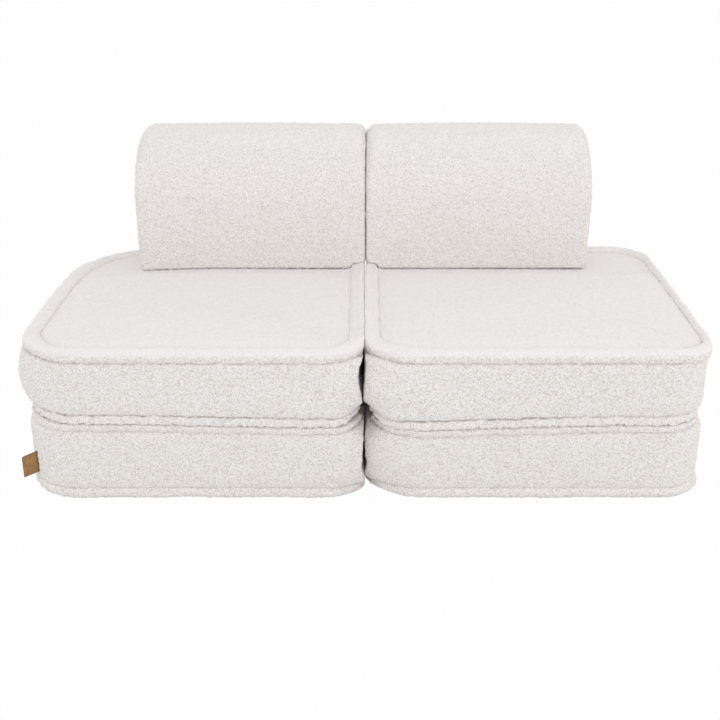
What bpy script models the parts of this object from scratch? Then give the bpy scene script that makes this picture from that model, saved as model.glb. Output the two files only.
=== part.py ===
"""Modular foam play sofa: two stacks of square floor cushions and two backrest blocks.

Metres, +Z up, the front towards -Y. Each stack is a base cushion with a seat cushion on it, and a
backrest block stands on the rear of each seat. Every module is a foam core in a sewn cover that
closes with a hidden zip. The cover's panels meet under a rolled edge, which is a ring of its own.
"""

import math

import bmesh
import bpy
from mathutils import Vector

# Driving dimensions
CUSHION_SIDE = 0.600
BASE_HEIGHT = 0.145
SEAT_HEIGHT = 0.135
STACK_GAP = 0.002
FIT_GAP = 0.0003
FABRIC = 0.005

# Rolled edge: a round bead, pressed flat where it rests, with a chord as its sewn side
# The shares say how much of its height a top or bottom bead keeps under the weight on it
ROLL_RADIUS = 0.0135
BASE_ROLL_SHARES = (0.60, 0.82)
SEAT_ROLL_SHARES = (1.0, 0.64)
ROLL_FLAT = 0.0005
TOP_SEAM_ANGLE = math.radians(20)
SIDE_SEAM_ANGLE = math.radians(235)

# Cover panels, as insets from the outline and drops below the cushion's highest edge
BAND_INSET = 0.0095
BAND_QUARTER_INSET = 0.0030
BAND_MIDDLE_INSET = 0.0015
FLAT_DROP = 0.0030
SEAT_DROP = 0.0035
SEAT_CROWN = 0.0080
REST_DROP = 0.0
REST_DEPTH = 0.440
CROWN_INSETS = (0.045, 0.140, 0.220)
CROWN_SIDE_Y = -0.040
CROWN_POINT_GAP = 0.002
CORNER_STEPS = (5, 5, 5, 5)
LEAST_RADIUS = 0.004
SHARP_ANGLE = math.radians(32)

# Zips
CUSHION_ZIP = 0.400
BACK_ZIP = 0.340
ZIP_HEIGHT = 0.018
TAPE_THICK = 0.0030
TAPE_SINK = 0.0042
COIL_WIDTH = 0.0044
COIL_HEIGHT = 0.0015
COIL_CREST_SHARE = 0.6
SLIDER_LENGTH = 0.0120
SLIDER_WIDTH = 0.0085
SLIDER_HEIGHT = 0.0038
SLIDER_ROOF = 0.0016
SLIDER_CHAMFER_HEIGHT = 0.75
SLIDER_CHAMFER_WIDTH = 0.7
SLIDER_PLAY = 0.00042
SLIDER_END_SPACE = 0.0060

# Backrest blocks, with depths measured from the plane of the seats' front edges
BACK_SPANS = {"left": (-0.462, -0.001), "right": (0.001, 0.456)}
BACK_FRONT = 0.468
BACK_DEPTH = 0.160
BACK_HEIGHT = 0.261
BACK_RADII = (0.012, 0.012, 0.030, 0.125)
BACK_STEPS = (2, 2, 3, 8)
END_RADIUS = 0.018
END_SEAM_ANGLE = math.radians(45)
END_CROWN = 0.0015
END_CROWN_INSET = 0.045
END_LEAST_STEP = 0.0018
BACK_ZIP_RISE = 0.045

# Leather tag, sewn to the rounded front left corner of the left base cushion
# Its root is placed from the cushion's left side and front plane
TAG_ROOT_X = 0.0196
TAG_ROOT_SLOPE = 0.75
TAG_DEPTH = 0.039
TAG_CENTRE_HEIGHT = 0.054
TAG_HEIGHT = 0.040
TAG_LENGTH = 0.0306
TAG_THICK = 0.0032
TAG_DROOP = 0.0145
TAG_FOLD = 0.0016
TAG_SPLIT_SHARE = 0.2

# Radii of each cushion's corners: front left, front right, rear right, rear left
CUSHIONS = {
    "left_base": {"column": -1, "level": 0, "corners": (0.095, 0.085, 0.095, 0.110)},
    "right_base": {"column": 1, "level": 0, "corners": (0.105, 0.090, 0.095, 0.095)},
    "left_seat": {"column": -1, "level": 1, "corners": (0.112, 0.078, 0.090, 0.150)},
    "right_seat": {"column": 1, "level": 1, "corners": (0.090, 0.078, 0.085, 0.090)},
}

# The origin is under the middle of the whole object, with the tag and the backrests' overhang
CENTRE_X = (TAG_LENGTH - TAG_ROOT_X) / 2
BACK_OVERHANG = BACK_FRONT + BACK_DEPTH - CUSHION_SIDE
FRONT_Y = -(CUSHION_SIDE + BACK_OVERHANG) / 2
SEAT_TOP = BASE_HEIGHT + FIT_GAP + SEAT_HEIGHT

MATERIALS = {
    "boucle": ((0.76, 0.73, 0.70), 0.95, 0.0),
    "foam": ((0.85, 0.80, 0.62), 0.90, 0.0),
    "zip_tape": ((0.70, 0.67, 0.63), 0.85, 0.0),
    "slider_metal": ((0.62, 0.60, 0.57), 0.35, 1.0),
    "tag_leather": ((0.31, 0.16, 0.07), 0.60, 0.0),
}


def clear_scene():
    """Start from an empty scene."""
    for item in list(bpy.data.objects):
        bpy.data.objects.remove(item, do_unlink=True)


def material(name):
    """One Principled material for each finish."""
    found = bpy.data.materials.get(name)
    if found:
        return found
    color, roughness, metallic = MATERIALS[name]
    made = bpy.data.materials.new(name)
    made.use_nodes = True
    shader = made.node_tree.nodes["Principled BSDF"]
    shader.inputs["Base Color"].default_value = (*color, 1.0)
    shader.inputs["Roughness"].default_value = roughness
    shader.inputs["Metallic"].default_value = metallic
    return made


def add_part(name, bm, finish, parent, place=(0, 0, 0)):
    """Turn a bmesh into a named object under its module's empty."""
    bmesh.ops.recalc_face_normals(bm, faces=bm.faces)
    mesh = bpy.data.meshes.new(name)
    bm.to_mesh(mesh)
    bm.free()
    mesh.shade_smooth()
    mesh.set_sharp_from_angle(angle=SHARP_ANGLE)
    mesh.materials.append(material(finish))
    part = bpy.data.objects.new(name, mesh)
    bpy.context.collection.objects.link(part)
    part.parent = parent
    part.location = place
    return part


def add_body(name, place, parent=None):
    """An empty that carries one module, or sits on a slider's axis."""
    body = bpy.data.objects.new(name, None)
    bpy.context.collection.objects.link(body)
    body.parent = parent
    body.location = place
    return body


# Outlines and lofts


def outline(width, depth, radii, steps, inset):
    """Corners of a rounded rectangle drawn in by inset, each a list of points, anticlockwise."""
    corners = []
    signs = ((-1, -1), (1, -1), (1, 1), (-1, 1))
    for index, (sign, radius, count) in enumerate(zip(signs, radii, steps)):
        radius = max(radius - inset, LEAST_RADIUS)
        centre_u = sign[0] * (width / 2 - inset - radius)
        centre_v = sign[1] * (depth / 2 - inset - radius)
        start = math.pi + index * math.pi / 2
        corner = []
        for step in range(count + 1):
            angle = start + step * math.pi / 2 / count
            point = (centre_u + radius * math.cos(angle), centre_v + radius * math.sin(angle))
            corner.append(point)
        corners.append(corner)
    return corners


def start_loop(bm, points):
    """A closed chain of edges through the points."""
    verts = [bm.verts.new(point) for point in points]
    for index, vert in enumerate(verts):
        bm.edges.new((vert, verts[(index + 1) % len(verts)]))
    return verts


def extend_loop(bm, verts, points):
    """Extrude a chain of edges and move the new chain to the points."""
    edges = [bm.edges.get((vert, verts[(i + 1) % len(verts)])) for i, vert in enumerate(verts)]
    made = bmesh.ops.extrude_edge_only(bm, edges=edges)["geom"]
    order = {vert: index for index, vert in enumerate(verts)}
    chain = [None] * len(verts)
    for vert in made:
        if isinstance(vert, bmesh.types.BMVert):
            old = next(e.other_vert(vert) for e in vert.link_edges if e.other_vert(vert) in order)
            vert.co = points[order[old]]
            chain[order[old]] = vert
    return chain


def loft(loops, capped):
    """A skin through the loops: with flat caps on its ends, or closed on itself as a ring."""
    bm = bmesh.new()
    first = chain = start_loop(bm, loops[0])
    for points in loops[1:] if capped else loops[1:] + loops[:1]:
        chain = extend_loop(bm, chain, points)
    if capped:
        bm.faces.new(first)
        bm.faces.new(chain)
    else:
        bmesh.ops.remove_doubles(bm, verts=first + chain, dist=1e-6)
    return bm


def extruded(profile, length):
    """A profile of (y, z) points pushed along X, centred on the origin."""
    bm = bmesh.new()
    face = bm.faces.new([bm.verts.new((-length / 2, y, z)) for y, z in profile])
    pushed = bmesh.ops.extrude_face_region(bm, geom=[face])["geom"]
    moved = [item for item in pushed if isinstance(item, bmesh.types.BMVert)]
    bmesh.ops.translate(bm, verts=moved, vec=(length, 0, 0))
    return bm


# Sections of a flat cushion, as (inset, drop) points


def roll_section(share):
    """The bead from the seam on the panel, over its pressed crest, to the seam on the band."""
    centre = Vector((ROLL_RADIUS, ROLL_RADIUS - ROLL_FLAT))
    crest = math.asin(1 - ROLL_FLAT / ROLL_RADIUS)
    spans = ((TOP_SEAM_ANGLE, crest), (math.pi - crest, math.pi), (math.pi, SIDE_SEAM_ANGLE))
    angles = []
    for low, high in spans:
        angles += [low, (low + high) / 2, high]
    kept = angles[:6] + angles[7:]
    round_points = [centre + ROLL_RADIUS * Vector((math.cos(a), -math.sin(a))) for a in kept]
    return [Vector((inset, share * drop)) for inset, drop in round_points]


def seam_section(share):
    """Where the cover passes under the bead: its outer line, its inner line and their split."""
    bead = roll_section(share)
    top, side = bead[0], bead[-1]
    along = (side - top).normalized()
    inward = Vector((along.y, -along.x))
    if inward.x < 0:
        inward.negate()
    outer_top = top + inward * FIT_GAP
    outer_side = side + inward * FIT_GAP
    split = (outer_top + outer_side) / 2
    inner_top = outer_top + inward * FABRIC
    inner_side = inner_top + along * (BAND_INSET - inner_top.x) / along.x
    return {
        "outer_top": outer_top,
        "outer_side": outer_side,
        "panel_lip": (split - along * FIT_GAP / 2, split + inward * FABRIC - along * FIT_GAP / 2),
        "band_lip": (split + along * FIT_GAP / 2, split + inward * FABRIC + along * FIT_GAP / 2),
        "inner_top": inner_top,
        "inner_side": inner_side,
        "inward": inward,
    }


def mirrored(section, height):
    """The same points measured from the bottom face, in the opposite order."""
    return [Vector((inset, height - drop)) for inset, drop in reversed(section)]


def cushion_loop(corners, height, point):
    """A level loop round a cushion at an (inset, drop) point."""
    rounded = outline(CUSHION_SIDE, CUSHION_SIDE, corners, CORNER_STEPS, point[0])
    return [Vector((x, y, height - point[1])) for corner in rounded for x, y in corner]


def cushion_loft(corners, height, section, capped):
    """Loft a section round a cushion's outline."""
    return loft([cushion_loop(corners, height, point) for point in section], capped)


# Pieces of a flat cushion


def roll_piece(corners, height, below, share):
    """A rolled edge on the top or the bottom of a cushion."""
    section = roll_section(share)
    if below:
        section = mirrored(section, height)
    return cushion_loft(corners, height, section, capped=False)


def flat_panel(corners, height, below, drop, share):
    """A level panel whose lip turns down under the rolled edge."""
    seam = seam_section(share)
    edge = Vector((seam["outer_top"].x + seam["outer_top"].y - drop, drop))
    section = [seam["inner_top"], seam["panel_lip"][1], seam["panel_lip"][0], seam["outer_top"], edge]
    if below:
        section = mirrored(section, height)
    return cushion_loft(corners, height, section, capped=True)


def crown_drop(x, y):
    """How far the seat panel lies below the roll's crest: crowned, and level under the backrest."""
    if y + CUSHION_SIDE / 2 >= REST_DEPTH - FIT_GAP:
        return REST_DROP
    across = math.cos(math.pi * x / CUSHION_SIDE)
    centre = REST_DEPTH / 2 - CUSHION_SIDE / 2
    along = math.cos(math.pi * (y - centre) / CUSHION_SIDE)
    return SEAT_DROP - SEAT_CROWN * across * max(along, 0)


def crown_loop(corners, height, inset, drop=None):
    """A loop of the crowned panel, with extra points on its sides, level only where drop is given."""
    rounded = outline(CUSHION_SIDE, CUSHION_SIDE, corners, CORNER_STEPS, inset)
    rest_y = REST_DEPTH - CUSHION_SIDE / 2
    points = []
    for index, corner in enumerate(rounded):
        following = rounded[(index + 1) % 4][0]
        points += corner
        last = corner[-1]
        if index in (0, 2):
            points.append(((last[0] + following[0]) / 2, last[1]))
        else:
            low, high = sorted((last[1], following[1]))
            low, high = low + CROWN_POINT_GAP, high - CROWN_POINT_GAP
            stops = [min(max(stop, low), high) for stop in (CROWN_SIDE_Y, rest_y)]
            stops[0] = min(stops[0], stops[1] - CROWN_POINT_GAP)
            points += [(last[0], y) for y in (stops if index == 1 else reversed(stops))]
    return [Vector((x, y, height - (crown_drop(x, y) if drop is None else drop))) for x, y in points]


def crowned_panel(corners, height, share):
    """The seat's top panel: crowned, and flat at the rear where the backrest stands."""
    seam = seam_section(share)
    section = [seam["inner_top"], seam["panel_lip"][1], seam["panel_lip"][0], seam["outer_top"]]
    loops = [crown_loop(corners, height, inset, drop) for inset, drop in section]
    loops += [crown_loop(corners, height, inset) for inset in CROWN_INSETS]
    bm = loft(loops, capped=True)
    crest = max(bm.faces, key=lambda face: (len(face.verts), face.calc_center_median().z))
    centre = bmesh.ops.poke(bm, faces=[crest])["verts"][0]
    centre.co.z = height - crown_drop(centre.co.x, centre.co.y)
    return bm


def band_half(height, share):
    """The band's outer line from one seam to near mid height, and its lining at that seam."""
    seam = seam_section(share)
    quarter = (seam["outer_side"].y + height / 2) / 2
    outer = [seam["band_lip"][0], seam["outer_side"], Vector((BAND_QUARTER_INSET, quarter))]
    return outer, [seam["inner_side"], seam["band_lip"][1]]


def side_band(corners, height, shares):
    """The boxing between the rolled edges: drawn in at its seams and fuller at mid height."""
    upper, upper_lining = band_half(height, shares[0])
    lower, lower_lining = band_half(height, shares[1])
    outer = upper + [Vector((BAND_MIDDLE_INSET, height / 2))] + mirrored(lower, height)
    lining = mirrored(lower_lining, height) + upper_lining
    return cushion_loft(corners, height, outer + lining, capped=False)


def core_edge(share):
    """The foam block's cut edge behind a bead."""
    seam = seam_section(share)
    ease = seam["inward"] * FIT_GAP
    top = seam["inner_top"] + Vector((ease.x, FIT_GAP))
    side = seam["inner_side"] + Vector((FIT_GAP, ease.y))
    return [top, side]


def foam_core(corners, height, shares):
    """The foam block, with its edges cut to clear the panels' lips."""
    section = core_edge(shares[0]) + mirrored(core_edge(shares[1]), height)
    return cushion_loft(corners, height, section, capped=True)


# Zips, shared by cushions and backrests


def zip_profile():
    """Tape with the closed coil standing on it, as (y, z) points round the section, facing +Y."""
    half = ZIP_HEIGHT / 2 - FIT_GAP
    coil = COIL_WIDTH / 2
    return [
        (-TAPE_THICK, -half),
        (0, -half),
        (0, -coil),
        (COIL_HEIGHT, -coil * COIL_CREST_SHARE),
        (COIL_HEIGHT, coil * COIL_CREST_SHARE),
        (0, coil),
        (0, half),
        (-TAPE_THICK, half),
    ]


def slider_profile():
    """A channel that straddles the coil, open towards the tape, with its origin on the tape."""
    half = SLIDER_WIDTH / 2
    throat = COIL_WIDTH / 2 + SLIDER_PLAY
    roof = FIT_GAP + SLIDER_HEIGHT
    under = roof - SLIDER_ROOF
    shoulder, crest = roof * SLIDER_CHAMFER_HEIGHT, half * SLIDER_CHAMFER_WIDTH
    return [
        (FIT_GAP, -half),
        (shoulder, -half),
        (roof, -crest),
        (roof, crest),
        (shoulder, half),
        (FIT_GAP, half),
        (FIT_GAP, throat),
        (under, throat),
        (under, -throat),
        (FIT_GAP, -throat),
    ]


def add_zip(prefix, cover, body, length, surface_y, height):
    """Cut the cover's rear wall, close the cut with the tape, and set the slider at its shut end."""
    wall = FABRIC + 2 * TAPE_SINK
    cutter = extruded(
        [
            (-wall, -ZIP_HEIGHT / 2),
            (wall, -ZIP_HEIGHT / 2),
            (wall, ZIP_HEIGHT / 2),
            (-wall, ZIP_HEIGHT / 2),
        ],
        length,
    )
    guide = add_part(prefix + "_zip_cut", cutter, "zip_tape", body, (0, surface_y, height))
    guide.hide_render = True
    guide.display_type = "WIRE"
    cut = cover.modifiers.new("zip opening", "BOOLEAN")
    cut.operation = "DIFFERENCE"
    cut.object = guide
    tape_y = surface_y - TAPE_SINK
    tape = extruded(zip_profile(), length - 2 * FIT_GAP)
    add_part(prefix + "_zip_tape", tape, "zip_tape", body, (0, tape_y, height))
    slider = extruded(slider_profile(), SLIDER_LENGTH)
    shut_x = length / 2 - SLIDER_END_SPACE - SLIDER_LENGTH / 2
    axis = add_body(prefix + "_slider_axis", (shut_x, tape_y, height), body)
    add_part(prefix + "_zip_slider", slider, "slider_metal", axis)


def add_cushion(name, column, level, corners):
    """One flat cushion: foam, three cover panels, two rolled edges and a zip at the rear."""
    height = SEAT_HEIGHT if level else BASE_HEIGHT
    shares = SEAT_ROLL_SHARES if level else BASE_ROLL_SHARES
    centre_x = CENTRE_X + column * (STACK_GAP + CUSHION_SIDE) / 2
    bottom = (BASE_HEIGHT + FIT_GAP) if level else 0.0
    body = add_body(name, (centre_x, FRONT_Y + CUSHION_SIDE / 2, bottom))
    add_part(name + "_foam_core", foam_core(corners, height, shares), "foam", body)
    if level:
        top = crowned_panel(corners, height, shares[0])
    else:
        top = flat_panel(corners, height, below=False, drop=FLAT_DROP, share=shares[0])
    add_part(name + "_top_panel", top, "boucle", body)
    bottom_drop = FLAT_DROP if level else 0.0
    bottom_panel = flat_panel(corners, height, below=True, drop=bottom_drop, share=shares[1])
    add_part(name + "_bottom_panel", bottom_panel, "boucle", body)
    top_roll = roll_piece(corners, height, below=False, share=shares[0])
    add_part(name + "_top_roll", top_roll, "boucle", body)
    bottom_roll = roll_piece(corners, height, below=True, share=shares[1])
    add_part(name + "_bottom_roll", bottom_roll, "boucle", body)
    band = add_part(name + "_side_band", side_band(corners, height, shares), "boucle", body)
    rear = CUSHION_SIDE / 2 - BAND_MIDDLE_INSET
    add_zip(name, band, body, CUSHION_ZIP, rear, height / 2)
    return body


# Pieces of a backrest block


def back_loop(x, inset):
    """The block's section at x, drawn in by inset."""
    corners = outline(BACK_DEPTH, BACK_HEIGHT, BACK_RADII, BACK_STEPS, inset)
    middle_depth = BACK_FRONT + BACK_DEPTH / 2
    middle_height = BACK_HEIGHT / 2
    flat = [point for corner in corners for point in corner]
    return [Vector((x, across + middle_depth, up + middle_height)) for across, up in flat]


def end_round(angle):
    """How far a point of the rounded end lies from the end plane, and from the block's skin."""
    return END_RADIUS * (1 - math.sin(angle)), END_RADIUS * (1 - math.cos(angle))


def wrap_cover(side):
    """The strip that goes round the front, top, back and underside, rounded towards its ends."""
    low, high = BACK_SPANS[side]
    skin = [end_round(END_SEAM_ANGLE), end_round(END_SEAM_ANGLE / 2), end_round(0)]
    skin[0] = (skin[0][0] + FIT_GAP, skin[0][1])
    rim, seam_inset = skin[0]
    lining = seam_inset + FABRIC
    section = [(low + step, inset) for step, inset in skin]
    section += [(high - step, inset) for step, inset in reversed(skin)]
    section += [(high - rim, lining), (low + rim, lining)]
    return loft([back_loop(x, inset) for x, inset in section], capped=False)


def end_panel(side, at_high_end):
    """A crowned panel that closes one end of the wrap."""
    end = BACK_SPANS[side][at_high_end]
    inwards = -1 if at_high_end else 1
    quarter = math.pi / 2
    section = [end_round(END_SEAM_ANGLE), end_round((END_SEAM_ANGLE + quarter) / 2)]
    section += [(END_CROWN, END_RADIUS), (0.0, END_CROWN_INSET)]
    section[1] = (max(section[1][0], END_LEAST_STEP), section[1][1])
    loops = [back_loop(end + inwards * step, inset) for step, inset in section]
    return loft(loops, capped=True)


def back_core(side):
    """The foam block inside the wrap."""
    low, high = BACK_SPANS[side]
    seam_step, seam_inset = end_round(END_SEAM_ANGLE)
    step = seam_step + FIT_GAP
    inset = seam_inset + FABRIC + FIT_GAP
    return loft([back_loop(low + step, inset), back_loop(high - step, inset)], capped=True)


def add_backrest(side):
    """One backrest block: foam, wrap, two end panels and a zip low on its back."""
    name = side + "_backrest"
    body = add_body(name, (CENTRE_X, FRONT_Y, SEAT_TOP + FIT_GAP))
    add_part(name + "_foam_core", back_core(side), "foam", body)
    wrap = add_part(name + "_wrap_cover", wrap_cover(side), "boucle", body)
    add_part(name + "_left_end_panel", end_panel(side, at_high_end=False), "boucle", body)
    add_part(name + "_right_end_panel", end_panel(side, at_high_end=True), "boucle", body)
    middle = sum(BACK_SPANS[side]) / 2
    rear = add_body(name + "_zip_line", (middle, 0, 0), body)
    add_zip(name, wrap, rear, BACK_ZIP, BACK_FRONT + BACK_DEPTH, BACK_ZIP_RISE)
    return body


# Leather tag


def leather_tag():
    """A strip folded on itself: two layers joined at the free end, with a root that fits the corner."""
    half = TAG_THICK / 2
    split = half * TAG_SPLIT_SHARE
    fold = TAG_LENGTH - TAG_FOLD
    outline_points = [
        (TAG_ROOT_SLOPE * half, -half),
        (-fold, -half),
        (-TAG_LENGTH, -split),
        (-TAG_LENGTH, split),
        (-fold, half),
        (-TAG_ROOT_SLOPE * half, half),
        (-TAG_ROOT_SLOPE * split, split),
        (-fold, split),
        (-fold, -split),
        (TAG_ROOT_SLOPE * split, -split),
    ]
    bm = bmesh.new()
    face = bm.faces.new([bm.verts.new((x, y, -TAG_HEIGHT / 2)) for x, y in outline_points])
    pushed = bmesh.ops.extrude_face_region(bm, geom=[face])["geom"]
    moved = [item for item in pushed if isinstance(item, bmesh.types.BMVert)]
    bmesh.ops.translate(bm, verts=moved, vec=(0, 0, TAG_HEIGHT))
    for vert in bm.verts:
        vert.co.z += TAG_DROOP * vert.co.x / TAG_LENGTH
    return bm


def add_tag(body):
    """Set the tag against the side band where it turns round the front left corner."""
    half = CUSHION_SIDE / 2
    place = (TAG_ROOT_X - half, TAG_DEPTH - half, TAG_CENTRE_HEIGHT)
    add_part("leather_tag", leather_tag(), "tag_leather", body, place)


def build_sofa():
    """The whole play sofa."""
    clear_scene()
    bodies = {}
    for name, cushion in CUSHIONS.items():
        bodies[name] = add_cushion(name, **cushion)
    for side in BACK_SPANS:
        add_backrest(side)
    add_tag(bodies["left_base"])


build_sofa()
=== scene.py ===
"""Looks of a modular foam play sofa: two stacks of floor cushions with two backrest blocks.

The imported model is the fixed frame. Every cushion is made from the parts of its sewn cover, which are
panels, side bands and rolled edges in a looped boucle, round a foam core that closes with a zip.
Lengths are metres, and drops and insets are measured from a cushion's highest edge and its outline.
"""

import logging
import math
from dataclasses import dataclass, field
from enum import Enum
from typing import Callable, Iterable, Union

import bmesh
import bpy
import numpy as np
from mathutils import Matrix, Vector
from mathutils.kdtree import KDTree


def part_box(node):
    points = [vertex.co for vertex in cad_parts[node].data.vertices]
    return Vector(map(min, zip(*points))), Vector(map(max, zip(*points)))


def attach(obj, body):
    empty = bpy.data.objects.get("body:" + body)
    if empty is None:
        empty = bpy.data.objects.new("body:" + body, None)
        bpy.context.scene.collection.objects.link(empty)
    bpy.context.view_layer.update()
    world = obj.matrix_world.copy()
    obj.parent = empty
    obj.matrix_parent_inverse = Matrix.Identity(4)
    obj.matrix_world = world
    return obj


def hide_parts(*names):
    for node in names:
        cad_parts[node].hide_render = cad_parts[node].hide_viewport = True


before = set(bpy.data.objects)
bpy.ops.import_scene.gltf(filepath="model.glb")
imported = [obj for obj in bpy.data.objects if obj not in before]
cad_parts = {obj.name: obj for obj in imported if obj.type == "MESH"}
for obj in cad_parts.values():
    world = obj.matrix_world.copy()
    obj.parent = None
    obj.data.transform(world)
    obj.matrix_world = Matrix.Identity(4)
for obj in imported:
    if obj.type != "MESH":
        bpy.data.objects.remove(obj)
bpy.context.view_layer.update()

logging.basicConfig(level=logging.INFO, format="%(name)s: %(message)s")
log = logging.getLogger("play_sofa")

Color = tuple[float, float, float]
Point = tuple[float, float]
Point3 = tuple[float, float, float]
Value = Union["Wire", float]

WELD = 1e-5

# A rounded rectangle's corners, anticlockwise from the one at low x and low y
CORNER_SIGNS = ((-1, -1), (1, -1), (1, 1), (-1, 1))

# The planes between the stacks and between the backrests, and how far the fabric stays from what it touches
GAP_X = 0.0055
BACK_GAP = 0.0024
MEETING_EASE = 0.00013
CONTACT_EASE = 0.0001
ZIP_BED = 0.0022


class Side(Enum):
    """The two stacks, as seen from the front."""

    LEFT = "left"
    RIGHT = "right"


class Level(Enum):
    """The two cushions of a stack."""

    BASE = "base"
    SEAT = "seat"


# Node graphs


class Wire:
    """A socket that takes part in arithmetic and adds a Math node for each step."""

    def __init__(self, graph: "Graph", socket: bpy.types.NodeSocket) -> None:
        """Wrap a socket.

        Args:
            graph: the graph that the socket belongs to.
            socket: an output socket.
        """
        self.graph = graph
        self.socket = socket

    def math(self, operation: str, *values: Value) -> "Wire":
        """Run a Math node on this value and others.

        Args:
            operation: the Math node's operation.
            values: the values that follow this one.

        Returns:
            The result.
        """
        return self.graph.math(operation, self, *values)

    def __add__(self, other: Value) -> "Wire":
        """Sum."""
        return self.math("ADD", other)

    def __radd__(self, other: Value) -> "Wire":
        """Sum with a number on the left."""
        return self.graph.math("ADD", other, self)

    def __sub__(self, other: Value) -> "Wire":
        """Difference."""
        return self.math("SUBTRACT", other)

    def __rsub__(self, other: Value) -> "Wire":
        """Difference from a number."""
        return self.graph.math("SUBTRACT", other, self)

    def __mul__(self, other: Value) -> "Wire":
        """Product."""
        return self.math("MULTIPLY", other)

    def __rmul__(self, other: Value) -> "Wire":
        """Product with a number on the left."""
        return self.graph.math("MULTIPLY", other, self)

    def __truediv__(self, other: Value) -> "Wire":
        """Quotient."""
        return self.math("DIVIDE", other)

    def __pow__(self, other: Value) -> "Wire":
        """Power."""
        return self.math("POWER", other)

    def ramp(self, low: float, high: float) -> "Wire":
        """Rise smoothly from 0 at low to 1 at high.

        Args:
            low: the value that gives 0.
            high: the value that gives 1, which may be below low.

        Returns:
            The smooth step.
        """
        sockets = {"Value": self, "From Min": low, "From Max": high}
        return self.graph.node("ShaderNodeMapRange", {"interpolation_type": "SMOOTHSTEP"}, sockets)


class Graph:
    """A shader or geometry node tree, with one method that makes any node."""

    def __init__(self, tree: bpy.types.NodeTree) -> None:
        """Take over an empty tree.

        Args:
            tree: the node tree to fill.
        """
        self.tree = tree
        tree.nodes.clear()

    def node(self, kind: str, settings: dict | None = None, sockets: dict | None = None,
             output: str | int = 0) -> Wire:
        """Make a node, set it up and feed it.

        Args:
            kind: the node's type.
            settings: its properties, set before its sockets.
            sockets: values or wires by socket name or number.
            output: the output socket to return.

        Returns:
            The chosen output, or the node itself in a Wire without a socket if it has none.
        """
        made = self.tree.nodes.new(kind)
        for name, value in (settings or {}).items():
            setattr(made, name, value)
        for name, value in (sockets or {}).items():
            if isinstance(value, Wire):
                self.tree.links.new(value.socket, made.inputs[name])
            else:
                made.inputs[name].default_value = value
        return Wire(self, made.outputs[output] if len(made.outputs) else None)

    def math(self, operation: str, *values: Value) -> Wire:
        """Run a Math node.

        Args:
            operation: the Math node's operation.
            values: its inputs in order.

        Returns:
            The result.
        """
        return self.node("ShaderNodeMath", {"operation": operation}, dict(enumerate(values)))

    def vector(self, operation: str, *values: Wire | tuple, output: str = "Vector", **sockets: Value) -> Wire:
        """Run a Vector Math node.

        Args:
            operation: the node's operation.
            values: its vector inputs in order.
            output: the output socket to return.
            sockets: further sockets, such as Scale.

        Returns:
            The result.
        """
        fed = dict(enumerate(values)) | sockets
        return self.node("ShaderNodeVectorMath", {"operation": operation}, fed, output)

    def mix(self, share: Value, low: Wire | Color, high: Wire | Color) -> Wire:
        """Mix two colours.

        Args:
            share: 0 gives low and 1 gives high.
            low: the first colour.
            high: the second colour.

        Returns:
            The mixed colour.
        """
        ends = [(*c, 1.0) if isinstance(c, tuple) else c for c in (low, high)]
        made = self.tree.nodes.new("ShaderNodeMix")
        made.data_type = "RGBA"
        for index, value in ((0, share), (6, ends[0]), (7, ends[1])):
            if isinstance(value, Wire):
                self.tree.links.new(value.socket, made.inputs[index])
            else:
                made.inputs[index].default_value = value
        return Wire(self, made.outputs[2])

    def attribute(self, name: str, output: str = "Fac") -> Wire:
        """Read an attribute of the mesh."""
        return self.node("ShaderNodeAttribute", {"attribute_name": name}, output=output)

    def noise(self, place: Wire, size: float, detail: float = 2.0, output: str = "Fac") -> Wire:
        """Noise with features of a size in metres.

        Args:
            place: the coordinates.
            size: the features' size.
            detail: how many finer layers are added.
            output: Fac or Color.

        Returns:
            The noise, from 0 to 1.
        """
        sockets = {"Vector": place, "Scale": 1 / size, "Detail": detail}
        return self.node("ShaderNodeTexNoise", {}, sockets, output)

    def cells(self, place: Wire, size: float, output: str = "Distance") -> Wire:
        """Distance to the nearest of many scattered points, in steps of a size in metres."""
        return self.node("ShaderNodeTexVoronoi", {}, {"Vector": place, "Scale": 1 / size}, output)


class Surface:
    """A Principled material that is being written."""

    def __init__(self, name: str, **fixed: float) -> None:
        """Start a material.

        Args:
            name: the material's name.
            fixed: values that are the same all over the surface, with _ for spaces.
        """
        self.material = bpy.data.materials.new(name)
        self.material.use_nodes = True
        self.graph = Graph(self.material.node_tree)
        tree = self.material.node_tree
        self.shader = tree.nodes.new("ShaderNodeBsdfPrincipled")
        target = tree.nodes.new("ShaderNodeOutputMaterial")
        tree.links.new(self.shader.outputs[0], target.inputs["Surface"])
        for key, value in fixed.items():
            self.shader.inputs[key.replace("_", " ")].default_value = value

    def feed(self, name: str, wire: Wire) -> None:
        """Link a wire to one of the shader's sockets."""
        self.graph.tree.links.new(wire.socket, self.shader.inputs[name])

    def bump(self, height: Wire, depth: float, strength: float = 1.0) -> None:
        """Feed a Bump node to the shader's normal.

        Args:
            height: the height, from 0 to 1.
            depth: how far 1 stands above 0, in metres.
            strength: how much of it shows.
        """
        sockets = {"Height": height, "Distance": depth, "Strength": strength}
        self.feed("Normal", self.graph.node("ShaderNodeBump", {}, sockets, "Normal"))


# Finishes


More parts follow.
